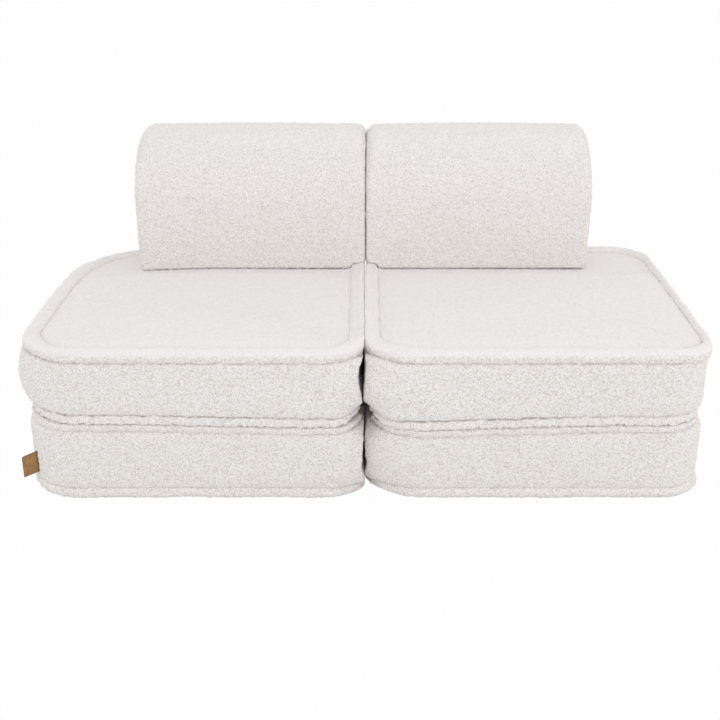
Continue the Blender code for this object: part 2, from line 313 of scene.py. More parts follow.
@dataclass(frozen=True)
class Boucle:
    """Off-white teddy boucle: looped curls that stand on a knitted ground.

    Attributes:
        tip: the colour of the curls' tips.
        gap: the colour between them, painted shade where the curls shadow one another.
        flat: the colour where the curls don't show, a paler, cooler painted light for faces that look up.
        seam: the colour in seams and hollows, partly the ground fabric's brown and partly painted shade.
        curl: the size of the large curls.
        small_curl: the size of the small ones.
        tuft: the size of the tufts that they stand in.
        loop: the size of the yarn's loops.
        yarn: the size of its grain.
        pile: how high tufts and curls rise.
        sag: how far the slack fabric rises and falls.
        sag_size: the length of those waves.
    """

    tip: Color = (0.874, 0.844, 0.818)
    gap: Color = (0.570, 0.530, 0.497)
    flat: Color = (0.818, 0.788, 0.780)
    seam: Color = (0.330, 0.275, 0.220)
    curl: float = 0.0031
    small_curl: float = 0.0018
    tuft: float = 0.0090
    loop: float = 0.0075
    yarn: float = 0.0009
    pile: float = 0.0024
    sag: float = 0.0010
    sag_size: float = 0.090

    def drifted(self, graph: Graph, place: Wire) -> Wire:
        """Places moved a little, so that the curls lie in uneven tufts."""
        drift = graph.vector("SUBTRACT", graph.noise(place, self.tuft, 1.0, "Color"), (0.5, 0.5, 0.5))
        return graph.vector("ADD", place, graph.vector("SCALE", drift, Scale=self.tuft * 0.5))

    def curls(self, graph: Graph, place: Wire) -> Wire:
        """The curls' height over the ground.

        Args:
            graph: a shader or geometry graph.
            place: the point of the ground, before the pile is raised.

        Returns:
            The height, from 0 between curls to about 1 on top of one.
        """
        moved = self.drifted(graph, place)
        large = graph.cells(moved, self.curl).ramp(0.86, 0.18)
        small = graph.cells(moved, self.small_curl).ramp(0.90, 0.15)
        return large * 0.65 + small * 0.35

    def tufts(self, graph: Graph, place: Wire) -> Wire:
        """The height of the tufts that the curls stand in, from 0 to 1."""
        return graph.cells(self.drifted(graph, place), self.tuft).ramp(0.80, 0.10)

    def relief(self) -> bpy.types.NodeTree:
        """The geometry nodes that raise the pile and store the ground's place.

        Returns:
            The node group.
        """
        tree = bpy.data.node_groups.new("boucle_relief", "GeometryNodeTree")
        for way in ("INPUT", "OUTPUT"):
            tree.interface.new_socket(name="Geometry", in_out=way, socket_type="NodeSocketGeometry")
        graph = Graph(tree)
        start = graph.node("NodeGroupInput")
        place = graph.node("GeometryNodeInputPosition")
        normal = graph.node("GeometryNodeInputNormal")
        keep = {"Geometry": start, "Name": "ground", "Value": place}
        kept = graph.node("GeometryNodeStoreNamedAttribute", {"data_type": "FLOAT_VECTOR"}, keep)
        amount = graph.node("GeometryNodeInputNamedAttribute", {"data_type": "FLOAT"}, {"Name": "pile"})
        slack = graph.noise(place, self.sag_size, 1.0) - 0.5
        fibres = self.tufts(graph, place) * 0.55 + self.curls(graph, place) * 0.45
        raised = (fibres * self.pile + slack * (2 * self.sag)) * amount
        offset = graph.vector("SCALE", normal, Scale=raised)
        moved = graph.node("GeometryNodeSetPosition", {}, {"Geometry": kept, "Offset": offset})
        graph.node("NodeGroupOutput", {}, {"Geometry": moved})
        return tree

    def material(self) -> bpy.types.Material:
        """The shader: pale curls with painted shade in the gaps, faces that look up painted paler and flatter
        as if washed out by light, and brown seams that are partly the fabric's tone and partly painted shade.

        Returns:
            The material.
        """
        surface = Surface("boucle_offwhite", Roughness=0.95, Sheen_Weight=0.2, Sheen_Roughness=0.5)
        surface.shader.inputs["Specular IOR Level"].default_value = 0.1
        graph = surface.graph
        ground = graph.attribute("ground", "Vector")
        curls_shown_by_light = graph.attribute("curls_shown_by_light")
        curls = self.curls(graph, ground)
        yarn = graph.noise(ground, self.yarn, 2.0)
        patch = graph.noise(ground, 0.05, 2.0)
        loops = graph.noise(self.drifted(graph, ground), self.loop, 1.0)
        strands = (loops - 0.5).math("ABSOLUTE").ramp(0.0, 0.07)
        shade = curls.ramp(0.02, 0.70) * 0.66 + strands * 0.18 + yarn * 0.16
        # The gap colour is painted shade between the curls, mixed in where they sink.
        pile = graph.mix(shade * (0.97 + patch * 0.06), self.gap, self.tip)
        # Painted light: faces that look up take the paler flat colour instead of the curls.
        cloth = graph.mix(curls_shown_by_light, self.flat, pile)
        # Brown in seams, the joint, the feet and hollows: the fabric's own tone in a seam and painted shade
        # in all of them, broken into dashes.
        stitch = graph.attribute("crease") * graph.noise(ground, 0.011, 2.0).ramp(0.30, 0.54)
        surface.feed("Base Color", graph.mix(stitch, cloth, self.seam))
        surface.bump((curls * 0.8 + yarn * 0.3) * curls_shown_by_light, 0.0014, 0.6)
        return surface.material


@dataclass(frozen=True)
class Foam:
    """Open-cell foam, seen only where a cover is opened.

    Attributes:
        color: of its skin.
        pore: the size of a pore.
    """

    color: Color = (0.86, 0.80, 0.60)
    pore: float = 0.0016

    def material(self) -> bpy.types.Material:
        """The shader: a pale skin with fine pores.

        Returns:
            The material.
        """
        surface = Surface("foam_pale", Roughness=0.9, Subsurface_Weight=0.0)
        graph = surface.graph
        place = graph.node("ShaderNodeTexCoord", output="Object")
        pores = graph.cells(place, self.pore)
        dark = tuple(0.72 * c for c in self.color)
        surface.feed("Base Color", graph.mix(pores.ramp(0.1, 0.6), dark, self.color))
        surface.bump(pores, 0.0006, 0.6)
        return surface.material


@dataclass(frozen=True)
class WovenTape:
    """The zip's woven tape, dyed to match the cover.

    Attributes:
        color: of the threads on top.
        thread: the width of a thread.
    """

    color: Color = (0.75, 0.70, 0.66)
    thread: float = 0.0011

    def material(self) -> bpy.types.Material:
        """The shader: a fine herringbone of warp and weft.

        Returns:
            The material.
        """
        surface = Surface("zip_tape_woven", Roughness=0.85)
        graph = surface.graph
        place = graph.node("ShaderNodeTexCoord", output="Object")
        turn = {"Vector": place, "Rotation": (0.0, math.radians(45), 0.0)}
        turned = graph.node("ShaderNodeMapping", {}, turn)
        fixed = {"wave_type": "BANDS", "bands_direction": "X"}
        weave = graph.node("ShaderNodeTexWave", fixed, {"Vector": turned, "Scale": 0.16 / self.thread}, "Fac")
        cross = graph.node("ShaderNodeTexWave", fixed, {"Vector": place, "Scale": 0.16 / self.thread}, "Fac")
        cloth = weave * 0.6 + cross * 0.4
        dark = tuple(0.78 * c for c in self.color)
        surface.feed("Base Color", graph.mix(cloth, dark, self.color))
        surface.bump(cloth, 0.0003, 0.7)
        return surface.material


@dataclass(frozen=True)
class Nylon:
    """The zip's moulded coil.

    Attributes:
        color: the nylon's.
    """

    color: Color = (0.74, 0.71, 0.66)

    def material(self) -> bpy.types.Material:
        """The shader: smooth nylon with a slight cloudiness.

        Returns:
            The material.
        """
        surface = Surface("zip_coil_nylon", Roughness=0.38)
        graph = surface.graph
        place = graph.node("ShaderNodeTexCoord", output="Object")
        cloud = graph.noise(place, 0.004, 2.0)
        surface.feed("Base Color", graph.mix(cloud, tuple(0.9 * c for c in self.color), self.color))
        surface.feed("Roughness", 0.32 + cloud * 0.14)
        return surface.material


@dataclass(frozen=True)
class BrushedMetal:
    """The slider's plated metal, worn where fingers push it.

    Attributes:
        color: of the plating.
        worn: of the metal where it is worn.
    """

    color: Color = (0.62, 0.60, 0.57)
    worn: Color = (0.74, 0.71, 0.66)

    def material(self) -> bpy.types.Material:
        """The shader: plated metal with fine scratches.

        Returns:
            The material.
        """
        surface = Surface("slider_plated", Metallic=1.0)
        graph = surface.graph
        place = graph.node("ShaderNodeTexCoord", output="Object")
        drawn = graph.vector("MULTIPLY", place, (0.15, 1.0, 1.0))
        scratch = graph.noise(drawn, 0.0004, 3.0)
        wear = graph.noise(place, 0.004, 2.0).ramp(0.35, 0.7)
        surface.feed("Base Color", graph.mix(wear, self.color, self.worn))
        surface.feed("Roughness", 0.26 + scratch * 0.2)
        surface.bump(scratch, 0.0001, 0.4)
        return surface.material


@dataclass(frozen=True)
class Leather:
    """Tan leather with a fine grain, darker at its cut edges, at its sewn end and at its fold.

    Attributes:
        color: of the hide.
        dark: in its grain and at its edges.
        pale: in its paler clouds.
        grain: the size of the grain.
    """

    color: Color = (0.315, 0.160, 0.056)
    dark: Color = (0.130, 0.062, 0.028)
    pale: Color = (0.400, 0.222, 0.086)
    grain: float = 0.0011

    def material(self) -> bpy.types.Material:
        """The shader: grain, slow colour clouds and darkened edges.

        Returns:
            The material.
        """
        surface = Surface("tag_leather_tan", Specular_IOR_Level=0.35)
        graph = surface.graph
        place = graph.node("ShaderNodeTexCoord", output="Object")
        cloud = graph.noise(place, 0.012, 3.0)
        grain = graph.cells(place, self.grain)
        edge = graph.attribute("edge")
        tone = graph.mix(cloud.ramp(0.35, 0.75), self.color, self.pale)
        tone = graph.mix(grain.ramp(0.35, 0.75) * 0.35, tone, self.dark)
        surface.feed("Base Color", graph.mix(edge * (0.55 + cloud * 0.5), tone, self.dark))
        surface.feed("Roughness", 0.48 + grain * 0.2)
        surface.bump(grain.ramp(0.8, 0.1) + cloud * 0.5, 0.0003, 0.7)
        return surface.material


# Meshes


def smooth_step(values: np.ndarray, low: float, high: float) -> np.ndarray:
    """Rise smoothly from 0 at low to 1 at high, element by element.

    Args:
        values: the values.
        low: the value that gives 0.
        high: the value that gives 1, which may be below low.

    Returns:
        The smooth steps.
    """
    share = np.clip((values - low) / (high - low), 0.0, 1.0)
    return share * share * (3.0 - 2.0 * share)


def wander(points: np.ndarray, size: float, seed: int) -> np.ndarray:
    """Slow waves that look random, from about -1 to 1.

    Args:
        points: rows of x, y and z.
        size: the usual length of a wave.
        seed: which waves are made.

    Returns:
        One number for each point.
    """
    dice = np.random.default_rng(seed)
    total = np.zeros(len(points))
    for _ in range(6):
        way = dice.normal(size=3)
        wave = 2 * math.pi / (size * dice.uniform(0.7, 1.5) * np.linalg.norm(way))
        total += np.sin(points @ way * wave + dice.uniform(0, 2 * math.pi))
    return total / 3.5


@dataclass(frozen=True)
class Waves:
    """Waves that look random and are the same each time.

    Attributes:
        height: how far they rise and fall.
        size: the usual length of one.
        seed: which waves are made.
    """

    height: float
    size: float
    seed: int

    def at(self, points: np.ndarray) -> np.ndarray:
        """Their height at each point."""
        return self.height * wander(points, self.size, self.seed)


# The fabric's unevenness by its place, slow waves before quick ones
WAVES = {
    "meeting_slow": Waves(0.0008, 0.070, 11),
    "meeting_quick": Waves(0.0006, 0.011, 12),
    "contact_slow": Waves(0.0009, 0.040, 15),
    "contact_quick": Waves(0.0007, 0.011, 16),
    "back_end": Waves(0.0004, 0.020, 18),
    "roll_side": Waves(0.0011, 0.070, 3),
    "roll_height": Waves(0.06, 0.080, 4),
    "roll_fill": Waves(0.8, 0.013, 31),
    "band": Waves(0.0012, 0.150, 5),
    "panel": Waves(0.0008, 0.170, 6),
    "tag_root": Waves(0.02, 0.006, 9),
}


def from_slot(points: np.ndarray) -> np.ndarray:
    """How far each point lies from the flat plane between the stacks."""
    return np.abs(points[:, 0] - GAP_X)


def meeting(points: np.ndarray, flat: float) -> np.ndarray:
    """Where the two stacks' fabric meets: a plane across x with slow and quick waves.

    Args:
        points: places near it.
        flat: the plane's x.

    Returns:
        One x for each point.
    """
    across = points * (0, 1, 1)
    waves = WAVES["meeting_slow"].at(across) + WAVES["meeting_quick"].at(across)
    return flat + waves


def read_points(mesh: bpy.types.Mesh, name: str = "co") -> np.ndarray:
    """The mesh's vertex places or normals as an array of rows.

    Args:
        mesh: the mesh.
        name: co or normal.

    Returns:
        One row for each vertex.
    """
    values = np.empty(len(mesh.vertices) * 3)
    mesh.vertices.foreach_get(name, values)
    return values.reshape(-1, 3)


def write_points(mesh: bpy.types.Mesh, points: np.ndarray) -> None:
    """Put the vertices at the rows of an array.

    Args:
        mesh: the mesh.
        points: one row for each vertex.
    """
    mesh.vertices.foreach_set("co", points.ravel())
    mesh.update()


def write_values(mesh: bpy.types.Mesh, name: str, values: np.ndarray) -> None:
    """Store one number for each vertex.

    Args:
        mesh: the mesh.
        name: the attribute's name.
        values: the numbers.
    """
    kept = mesh.attributes.get(name) or mesh.attributes.new(name, "FLOAT", "POINT")
    kept.data.foreach_set("value", values.astype(np.float32))


def to_object(bm: bmesh.types.BMesh, name: str) -> bpy.types.Object:
    """Turn a bmesh into a linked object with faces outward and smooth shading.

    Args:
        bm: the bmesh, which is freed.
        name: the object's name.

    Returns:
        The object, at the origin.
    """
    bmesh.ops.recalc_face_normals(bm, faces=bm.faces)
    mesh = bpy.data.meshes.new(name)
    bm.to_mesh(mesh)
    bm.free()
    mesh.shade_smooth()
    made = bpy.data.objects.new(name, mesh)
    bpy.context.scene.collection.objects.link(made)
    return made


def keep_evaluated(obj: bpy.types.Object) -> None:
    """Apply an object's modifiers to its mesh.

    Args:
        obj: the object.
    """
    graph = bpy.context.evaluated_depsgraph_get()
    shaped = bpy.data.meshes.new_from_object(
        obj.evaluated_get(graph), preserve_all_data_layers=True, depsgraph=graph)
    shaped.name = obj.name
    obj.modifiers.clear()
    obj.data = shaped


def chain(bm: bmesh.types.BMesh, points: Iterable[tuple[float, float, float]], closed: bool) -> list:
    """Edges through a few points.

    Args:
        bm: the bmesh to add to.
        points: the points in order.
        closed: whether the last joins the first.

    Returns:
        The new vertices and edges.
    """
    verts = [bm.verts.new(point) for point in points]
    pairs = list(zip(verts, verts[1:])) + ([(verts[-1], verts[0])] if closed else [])
    return verts + [bm.edges.new(pair) for pair in pairs]


def cut_edges(bm: bmesh.types.BMesh, length: float, spacing: float) -> None:
    """Cut all edges of one length into even steps, with rows of faces between them.

    Args:
        bm: the bmesh.
        length: the edges' length.
        spacing: the length of a step.
    """
    cuts = round(length / spacing) - 1
    edges = [edge for edge in bm.edges if abs(edge.calc_length() - length) < WELD]
    if cuts > 0 and edges:
        bmesh.ops.subdivide_edges(bm, edges=edges, cuts=cuts, use_grid_fill=True)


@dataclass(frozen=True)
class Outline:
    """A rounded rectangle with its own radius at each corner.

    Attributes:
        centre: its middle.
        half: half its size.
        radii: its corners, anticlockwise from the one at low x and low y.
    """

    centre: Point
    half: Point
    radii: tuple[float, float, float, float]

    def sweep(self, bm: bmesh.types.BMesh, start: list, spacing: float) -> None:
        """Push geometry once round the outline, weld it to its start and cut the straights into steps.

        Args:
            bm: the bmesh that holds the geometry.
            start: vertices and edges in the plane where the first side begins.
            spacing: the length of a step.
        """
        geometry = start
        step = {"axis": (0, 0, 1), "use_duplicate": False}
        spans = []
        corners = list(zip(CORNER_SIGNS, self.radii))
        for index, (sign, radius) in enumerate(corners[1:] + corners[:1]):
            ahead = Vector((math.cos(index * math.pi / 2), math.sin(index * math.pi / 2), 0.0))
            spans.append(2 * self.half[index % 2] - self.radii[index] - radius)
            geometry = bmesh.ops.spin(
                bm, geom=geometry, cent=(0, 0, 0), dvec=ahead * spans[-1], angle=0.0, steps=1,
                **step)["geom_last"]
            centre = [self.centre[a] + sign[a] * (self.half[a] - radius) for a in (0, 1)]
            steps = max(3, round(radius * math.pi / 2 / spacing))
            geometry = bmesh.ops.spin(
                bm, geom=geometry, cent=(*centre, 0), angle=math.pi / 2, steps=steps, **step)["geom_last"]
        bmesh.ops.remove_doubles(bm, verts=bm.verts, dist=WELD)
        for span in spans:
            cut_edges(bm, span, spacing)

    def start(self, inset: float, height: float) -> tuple[float, float, float]:
        """A point in the plane where sweep begins.

        Args:
            inset: how far inside the outline.
            height: its height.

        Returns:
            The point.
        """
        low_x = self.centre[0] - self.half[0] + self.radii[0]
        return low_x, self.centre[1] - self.half[1] + inset, height

    def nearest(self, points: np.ndarray) -> tuple[np.ndarray, np.ndarray]:
        """How far points lie inside the outline, and which way its nearest side faces.

        Args:
            points: rows that start with x and y.

        Returns:
            The distances, below 0 outside, and rows of x and y that point outward.
        """
        local = points[:, :2] - np.array(self.centre)
        half = np.array(self.half)
        gaps = np.column_stack([half - local, half + local])
        inside = gaps.min(axis=1)
        lead = np.array([(1.0, 0.0), (0.0, 1.0), (-1.0, 0.0), (0.0, -1.0)])[gaps.argmin(axis=1)]
        for sign, radius in zip(CORNER_SIGNS, self.radii):
            past = local * sign - half + radius
            corner = (past > 0).all(axis=1)
            reach = np.maximum(np.linalg.norm(past, axis=1), WELD)
            inside = np.where(corner, radius - reach, inside)
            lead = np.where(corner[:, None], past / reach[:, None] * sign, lead)
        return inside, lead

    def inside(self, points: np.ndarray) -> np.ndarray:
        """How far points lie inside the outline, below 0 outside."""
        return self.nearest(points)[0]

    def drawn_in(self, inset: float) -> "Outline":
        """The outline that lies inset inside this one."""
        half = (self.half[0] - inset, self.half[1] - inset)
        return Outline(self.centre, half, tuple(r - inset for r in self.radii))

    def grid(self, spacing: float) -> bmesh.types.BMesh:
        """A grid of faces whose rim is the outline.

        Args:
            spacing: the length of a face's side.

        Returns:
            The grid at height 0.
        """
        bm = bmesh.new()
        counts = [max(4, round(2 * half / spacing)) for half in self.half]
        bmesh.ops.create_grid(bm, x_segments=counts[0], y_segments=counts[1], size=1.0)
        split = self.split()
        for vert in bm.verts:
            ring = max(abs(vert.co.x), abs(vert.co.y))
            lead = 0 if abs(vert.co.x) >= abs(vert.co.y) else 1
            point = [vert.co[a] * self.half[a] for a in (0, 1)]
            signs = [math.copysign(1, point[a] - (0 if a == lead else split[a] * ring)) for a in (0, 1)]
            radius = self.radii[CORNER_SIGNS.index(tuple(signs))] * ring
            rest = self.half[1 - lead] * ring - signs[1 - lead] * point[1 - lead]
            if ring > 0 and rest < radius:
                turn = math.pi / 4 * (1 - rest / radius)
                for a, reach in ((lead, math.cos(turn)), (1 - lead, math.sin(turn))):
                    point[a] = signs[a] * (self.half[a] * ring - radius + radius * reach)
            vert.co = (self.centre[0] + point[0], self.centre[1] + point[1], 0.0)
        return bm

    def split(self) -> Point:
        """A point from the centre whose column and row both miss every corner's round stretch."""
        halves = []
        for a, (low, high) in enumerate((((0, 3), (1, 2)), ((0, 1), (2, 3)))):
            least = max(self.radii[corner] for corner in low) - self.half[a]
            most = self.half[a] - max(self.radii[corner] for corner in high)
            halves.append((least + most) / 2)
        return halves[0], halves[1]


@dataclass
class Piece:
    """One part of the sofa that is being dressed.

    Attributes:
        obj: its object.
        body: the CAD body that it moves with.
        replaced: the CAD nodes that it stands for.
        slot: the name of its material slot, which is not used.
        fill: how full it is stuffed, or None for a piece that isn't padded; not used.
    """

    obj: bpy.types.Object
    body: str
    replaced: tuple[str, ...]
    slot: str
    fill: float | None = None

    def dress(self, finish: bpy.types.Material) -> None:
        """Give the piece its material and tie it to the frame.

        Args:
            finish: the material.
        """
        self.obj.data.materials.clear()
        self.obj.data.materials.append(finish)
        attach(self.obj, self.body)
        if self.replaced:
            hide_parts(*self.replaced)
        log.info("%s rides on %s, %d faces", self.obj.name, self.body, len(self.obj.data.polygons))


@dataclass
class Wardrobe:
    """The finishes, each made once.

    Attributes:
        boucle: the cover's fabric.
    """

    boucle: Boucle = field(default_factory=Boucle)

    def __post_init__(self) -> None:
        """Make the materials."""
        self.cover = self.boucle.material()
        self.relief = self.boucle.relief()
        self.foam = Foam().material()
        self.tape = WovenTape().material()
        self.coil = Nylon().material()
        self.metal = BrushedMetal().material()
        self.leather = Leather().material()

    def raise_pile(self, obj: bpy.types.Object, pile: np.ndarray, lit_top_wash: float, slopes: Point,
                   fluff: float) -> np.ndarray:
        """Raise the curls on a piece.

        Args:
            obj: the piece.
            pile: how much pile each vertex has, from 0 to 1.
            lit_top_wash: how much less the curls show where the fabric faces up, painted light that turns
                them into the flat colour.
            slopes: the normal's rise where they begin to fade and where they have faded.
            fluff: how much they show where it faces sideways; the rest takes the painted-light flat colour.

        Returns:
            The vertices' new places, which the caller keeps clear of the neighbours and writes.
        """
        write_values(obj.data, "pile", pile)
        upward = read_points(obj.data, "normal")[:, 2]
        # Painted light: the curls fade into the paler flat colour where the fabric faces up, as if washed out
        # by the light from above.
        write_values(obj.data, "curls_shown_by_light", fluff * (1 - lit_top_wash * smooth_step(upward, *slopes)))
        modifier = obj.modifiers.new("pile", "NODES")
        modifier.node_group = self.relief
        keep_evaluated(obj)
        obj.data.shade_smooth()
        return read_points(obj.data)

    def hold(self, points: np.ndarray, side: Side, flat: float, opening: np.ndarray) -> None:
        """Keep fabric on its own side of the plane where the stacks meet.

        Args:
            points: the places, which are changed.
            side: the stack that they belong to.
            flat: the plane's x.
            opening: how far from the plane each point stays, below 0 where the stack leans over it.
        """
        plane = meeting(points, flat)
        if side is Side.LEFT:
            points[:, 0] = np.minimum(points[:, 0], plane - opening)
        else:
            points[:, 0] = np.maximum(points[:, 0], plane + opening)


@dataclass
class Drape:
    """How an inflated cover settles, from a cloth simulation on a coarse closed copy of it.

    Attributes:
        name: the module that it belongs to.
        pressure: the push of the filling.
        slack: how much longer the cloth is than the copy, as a share.
        cap: the limit that the shifts come near to and never reach.
        reach: how far around it a vertex of the copy moves the cover.
        frames: how long the cloth settles.
        tree: finds the copy's vertices, once the cloth has settled.
    """

    name: str
    pressure: float = 4.0
    slack: float = 0.0008
    cap: float = 0.0030
    reach: float = 0.012
    frames: int = 20
    tree: KDTree | None = None

    def hang(self, bm: bmesh.types.BMesh, held: Callable[[np.ndarray], np.ndarray]) -> None:
        """Turn the copy into cloth.

        Args:
            bm: the copy, which is freed.
            held: tells which of the copy's points are sewn down or pressed.
        """
        self.obj = to_object(bm, self.name + "_drape")
        self.start = read_points(self.obj.data)
        group = self.obj.vertex_groups.new(name="held")
        group.add(np.flatnonzero(held(self.start)).tolist(), 1.0, "REPLACE")
        cloth = self.obj.modifiers.new("cloth", "CLOTH")
        cloth.collision_settings.use_collision = False
        cloth.point_cache.frame_end = self.frames
        settings = {"quality": 6, "mass": 0.05, "air_damping": 2.0, "tension_stiffness": 20.0,
                    "compression_stiffness": 12.0, "bending_stiffness": 0.1, "use_pressure": True,
                    "uniform_pressure_force": self.pressure, "shrink_min": -self.slack,
                    "vertex_group_mass": "held"}
        for name, value in settings.items():
            setattr(cloth.settings, name, value)
        cloth.settings.effector_weights.gravity = 0.0

    def read(self) -> None:
        """Keep the settled cloth's shifts and remove the copy."""
        keep_evaluated(self.obj)
        moves = read_points(self.obj.data) - self.start
        sizes = np.linalg.norm(moves, axis=1, keepdims=True)
        self.moves = moves / (1 + sizes / self.cap)
        self.tree = KDTree(len(self.start))
        for index, point in enumerate(self.start):
            self.tree.insert(point, index)
        self.tree.balance()
        log.info("%s cloth moved up to %.1f mm", self.name, sizes.max() * 1000)
        bpy.data.objects.remove(self.obj)

    def shift(self, points: np.ndarray) -> np.ndarray:
        """How far the settled cloth moves places on the cover.

        Args:
            points: the places.

        Returns:
            One shift for each, zero until the settled cloth has been read.
        """
        if self.tree is None:
            return np.zeros_like(points)
        found = [self.tree.find_n(point, 5) for point in points.tolist()]
        indices = np.array([[item[1] for item in row] for row in found])
        gaps = np.array([[item[2] for item in row] for row in found])
        shares = np.exp(-(gaps / self.reach) ** 2) + WELD
        return (self.moves[indices] * shares[:, :, None]).sum(axis=1) / shares.sum(axis=1)[:, None]


def settle_cloth(drapes: list[Drape]) -> None:
    """Run the simulation of all covers at once.

    Args:
        drapes: the covers.
    """
    for step in range(1, drapes[0].frames + 1):
        bpy.context.scene.frame_set(step)
    for drape in drapes:
        drape.read()
    bpy.context.scene.frame_set(1)


def verts_of(geometry: list) -> list[bmesh.types.BMVert]:
    """The vertices among the results of a mesh operator."""
    return [item for item in geometry if isinstance(item, bmesh.types.BMVert)]


def raise_faces(bm: bmesh.types.BMesh, faces: list[bmesh.types.BMFace], height: float) -> None:
    """Extrude faces straight up by a height."""
    pushed = bmesh.ops.extrude_face_region(bm, geom=faces)["geom"]
    bmesh.ops.translate(bm, verts=verts_of(pushed), vec=(0, 0, height))


def turn_lip(bm: bmesh.types.BMesh, step: float) -> None:
    """Extrude the border of an open mesh by a step along z and close it there."""
    border = [edge for edge in bm.edges if edge.is_boundary]
    lip = bmesh.ops.extrude_edge_only(bm, edges=border)["geom"]
    bmesh.ops.translate(bm, verts=verts_of(lip), vec=(0, 0, step))
    bmesh.ops.contextual_create(bm, geom=[edge for edge in bm.edges if edge.is_boundary])


def coarse_block(outline: Outline, low: float, high: float, spacing: float) -> bmesh.types.BMesh:
    """A closed block with an outline and even faces, as cloth wants them.

    Args:
        outline: the outline of its ends.
        low: the height of the lower end.
        high: the height of the upper end.
        spacing: the length of a face's side.

    Returns:
        The block.
    """
    bm = outline.grid(spacing)
    bmesh.ops.translate(bm, verts=bm.verts, vec=(0, 0, low))
    raise_faces(bm, list(bm.faces), high - low)
    cut_edges(bm, high - low, spacing)
    return bm


def zip_groove(points: np.ndarray, module: str, rear: np.ndarray) -> np.ndarray:
    """Sink the cover's rear into a bed for the module's zip.

    Args:
        points: places on the cover, which are changed.
        module: the module's name.
        rear: which points may sink.

    Returns:
        How much of the groove each point takes, from 0 to 1.
    """
    low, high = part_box(module + "_zip_tape")
    size, centre = (high - low) / 2, (low + high) / 2
    share = smooth_step(np.abs(points[:, 0] - centre.x), size.x + 0.002, size.x - 0.002)
    share *= smooth_step(np.abs(points[:, 2] - centre.z), size.z + 0.0012, size.z - 0.0014)
    share *= (points[:, 1] > low.y - 0.003) * rear
    points[:, 1] -= share * (points[:, 1] - (high.y - ZIP_BED))
    return share


# Flat cushions


# Seams on the band of each cushion, lower and upper: how far they draw it in, and how dark they are, partly
# the fabric's tone and partly painted shade
SEAMS = {
    Level.BASE: ((0.0036, 0.12), (0.0040, 0.10)),
    Level.SEAT: ((0.0054, 0.95), (0.0032, 0.35)),
}

# How far the rolled edges between base and seat are drawn in on the outer side
DRAWS = {Side.LEFT: 0.0075, Side.RIGHT: 0.0125}

# How much further out than on the outline the seat's panel begins on the outer side
SPREADS = {Side.LEFT: -0.005, Side.RIGHT: 0.010}

# Painted shadow in the hollows between the cushions' front corners and where the stacks meet the backrests:
# centre and reach
HOLLOWS = (
    ((GAP_X + 0.0005, -0.232, 0.142), (0.0190, 0.036, 0.0115)),
    ((GAP_X + 0.0030, 0.156, 0.281), (0.0060, 0.010, 0.0200)),
)

# How dark the painted shadow in a hollow is, and the shares of its reach where it begins and where it is
# whole
HOLLOW_SHADE = 1.6
HOLLOW_FADE = (1.0, 0.5)


@dataclass(frozen=True)
class Fades:
    """Where the forms of a flat cushion begin and where they are whole.

    Attributes:
        slot: the slot between the stacks, by depth.
        room: what the right seat keeps from the left backrest's end, by depth.
        sag: the sagging plane, by distance from the slot.
        sag_depths: the same, by depth.
        base_sag: the same in a base, by distance from its top.
        seat_sag: the same in a seat, by distance from its bottom.
        lift: the turned up corner, by distance from the slot.
        spread: the moved panel, by depth.
        slump: the hanging corner, by distance from it.
        slump_heights: the same, by height.
        draw: the drawn in rolled edges, by distance from the outer side.
        draw_heights: the same, by distance from the plane between base and seat.
        bulge: the bulging band, by distance from the outer side.
        band_heights: where the band leaves the rolled edges, by distance from that plane.
        shut: the pressed front corner, by depth.
        shut_facing: the same, by how squarely the cover faces the other stack.
        shut_inside: the same on the rolled edges, by distance from the outline.
        gap_fill: the squarer rolled edge next to the gap, by how squarely it faces the other stack.
        near_slot: the paler seams next to the slot, by distance from it.
        far_right: the paler seams at the far right, by x.
        rim: the higher rim of the left panels at the rear, by depth.
        behind: the pressed pile under a backrest, by distance from the front.
    """

    slot: Point = (0.10, -0.06)
    room: Point = (0.134, 0.152)
    sag: Point = (0.46, 0.03)
    sag_depths: Point = (0.16, -0.10)
    base_sag: Point = (0.075, 0.012)
    seat_sag: Point = (0.090, 0.012)
    lift: Point = (0.042, 0.003)
    spread: Point = (0.28, 0.18)
    slump: Point = (0.33, 0.10)
    slump_heights: Point = (0.03, 0.10)
    draw: Point = (0.110, 0.010)
    draw_heights: Point = (0.026, 0.010)
    bulge: Point = (0.085, 0.012)
    band_heights: Point = (0.010, 0.045)
    shut: Point = (0.02, -0.14)
    shut_facing: Point = (0.50, 0.90)
    shut_inside: Point = (0.018, 0.004)
    gap_fill: Point = (0.80, 0.98)
    near_slot: Point = (0.060, 0.025)
    far_right: Point = (0.28, 0.40)
    rim: Point = (0.16, 0.24)
    behind: Point = (0.462, 0.480)


FADES = Fades()

# The slot between the stacks at the front: its heights, and how far each side stays from the meeting plane
SLOTS = {
    Level.BASE: (
        (0.028, 0.040, 0.052, 0.070, 0.100, 0.125, 0.140),
        {Side.LEFT: (0.0002, 0.0030, 0.0050, 0.0032, 0.0032, 0.0012, -0.0016),
         Side.RIGHT: (0.0002, 0.0036, 0.0056, 0.0018, 0.0004, 0.0020, 0.0070)}),
    Level.SEAT: (
        (0.148, 0.158, 0.168, 0.182, 0.200, 0.225, 0.245, 0.258, 0.270),
        {Side.LEFT: (0.0080, 0.0060, 0.0042, 0.0046, 0.0082, 0.0118, 0.0092, 0.0034, 0.0002),
         Side.RIGHT: (0.0100, 0.0060, 0.0010, -0.0022, -0.0008, 0.0010, 0.0016, 0.0008, 0.0002)}),
}


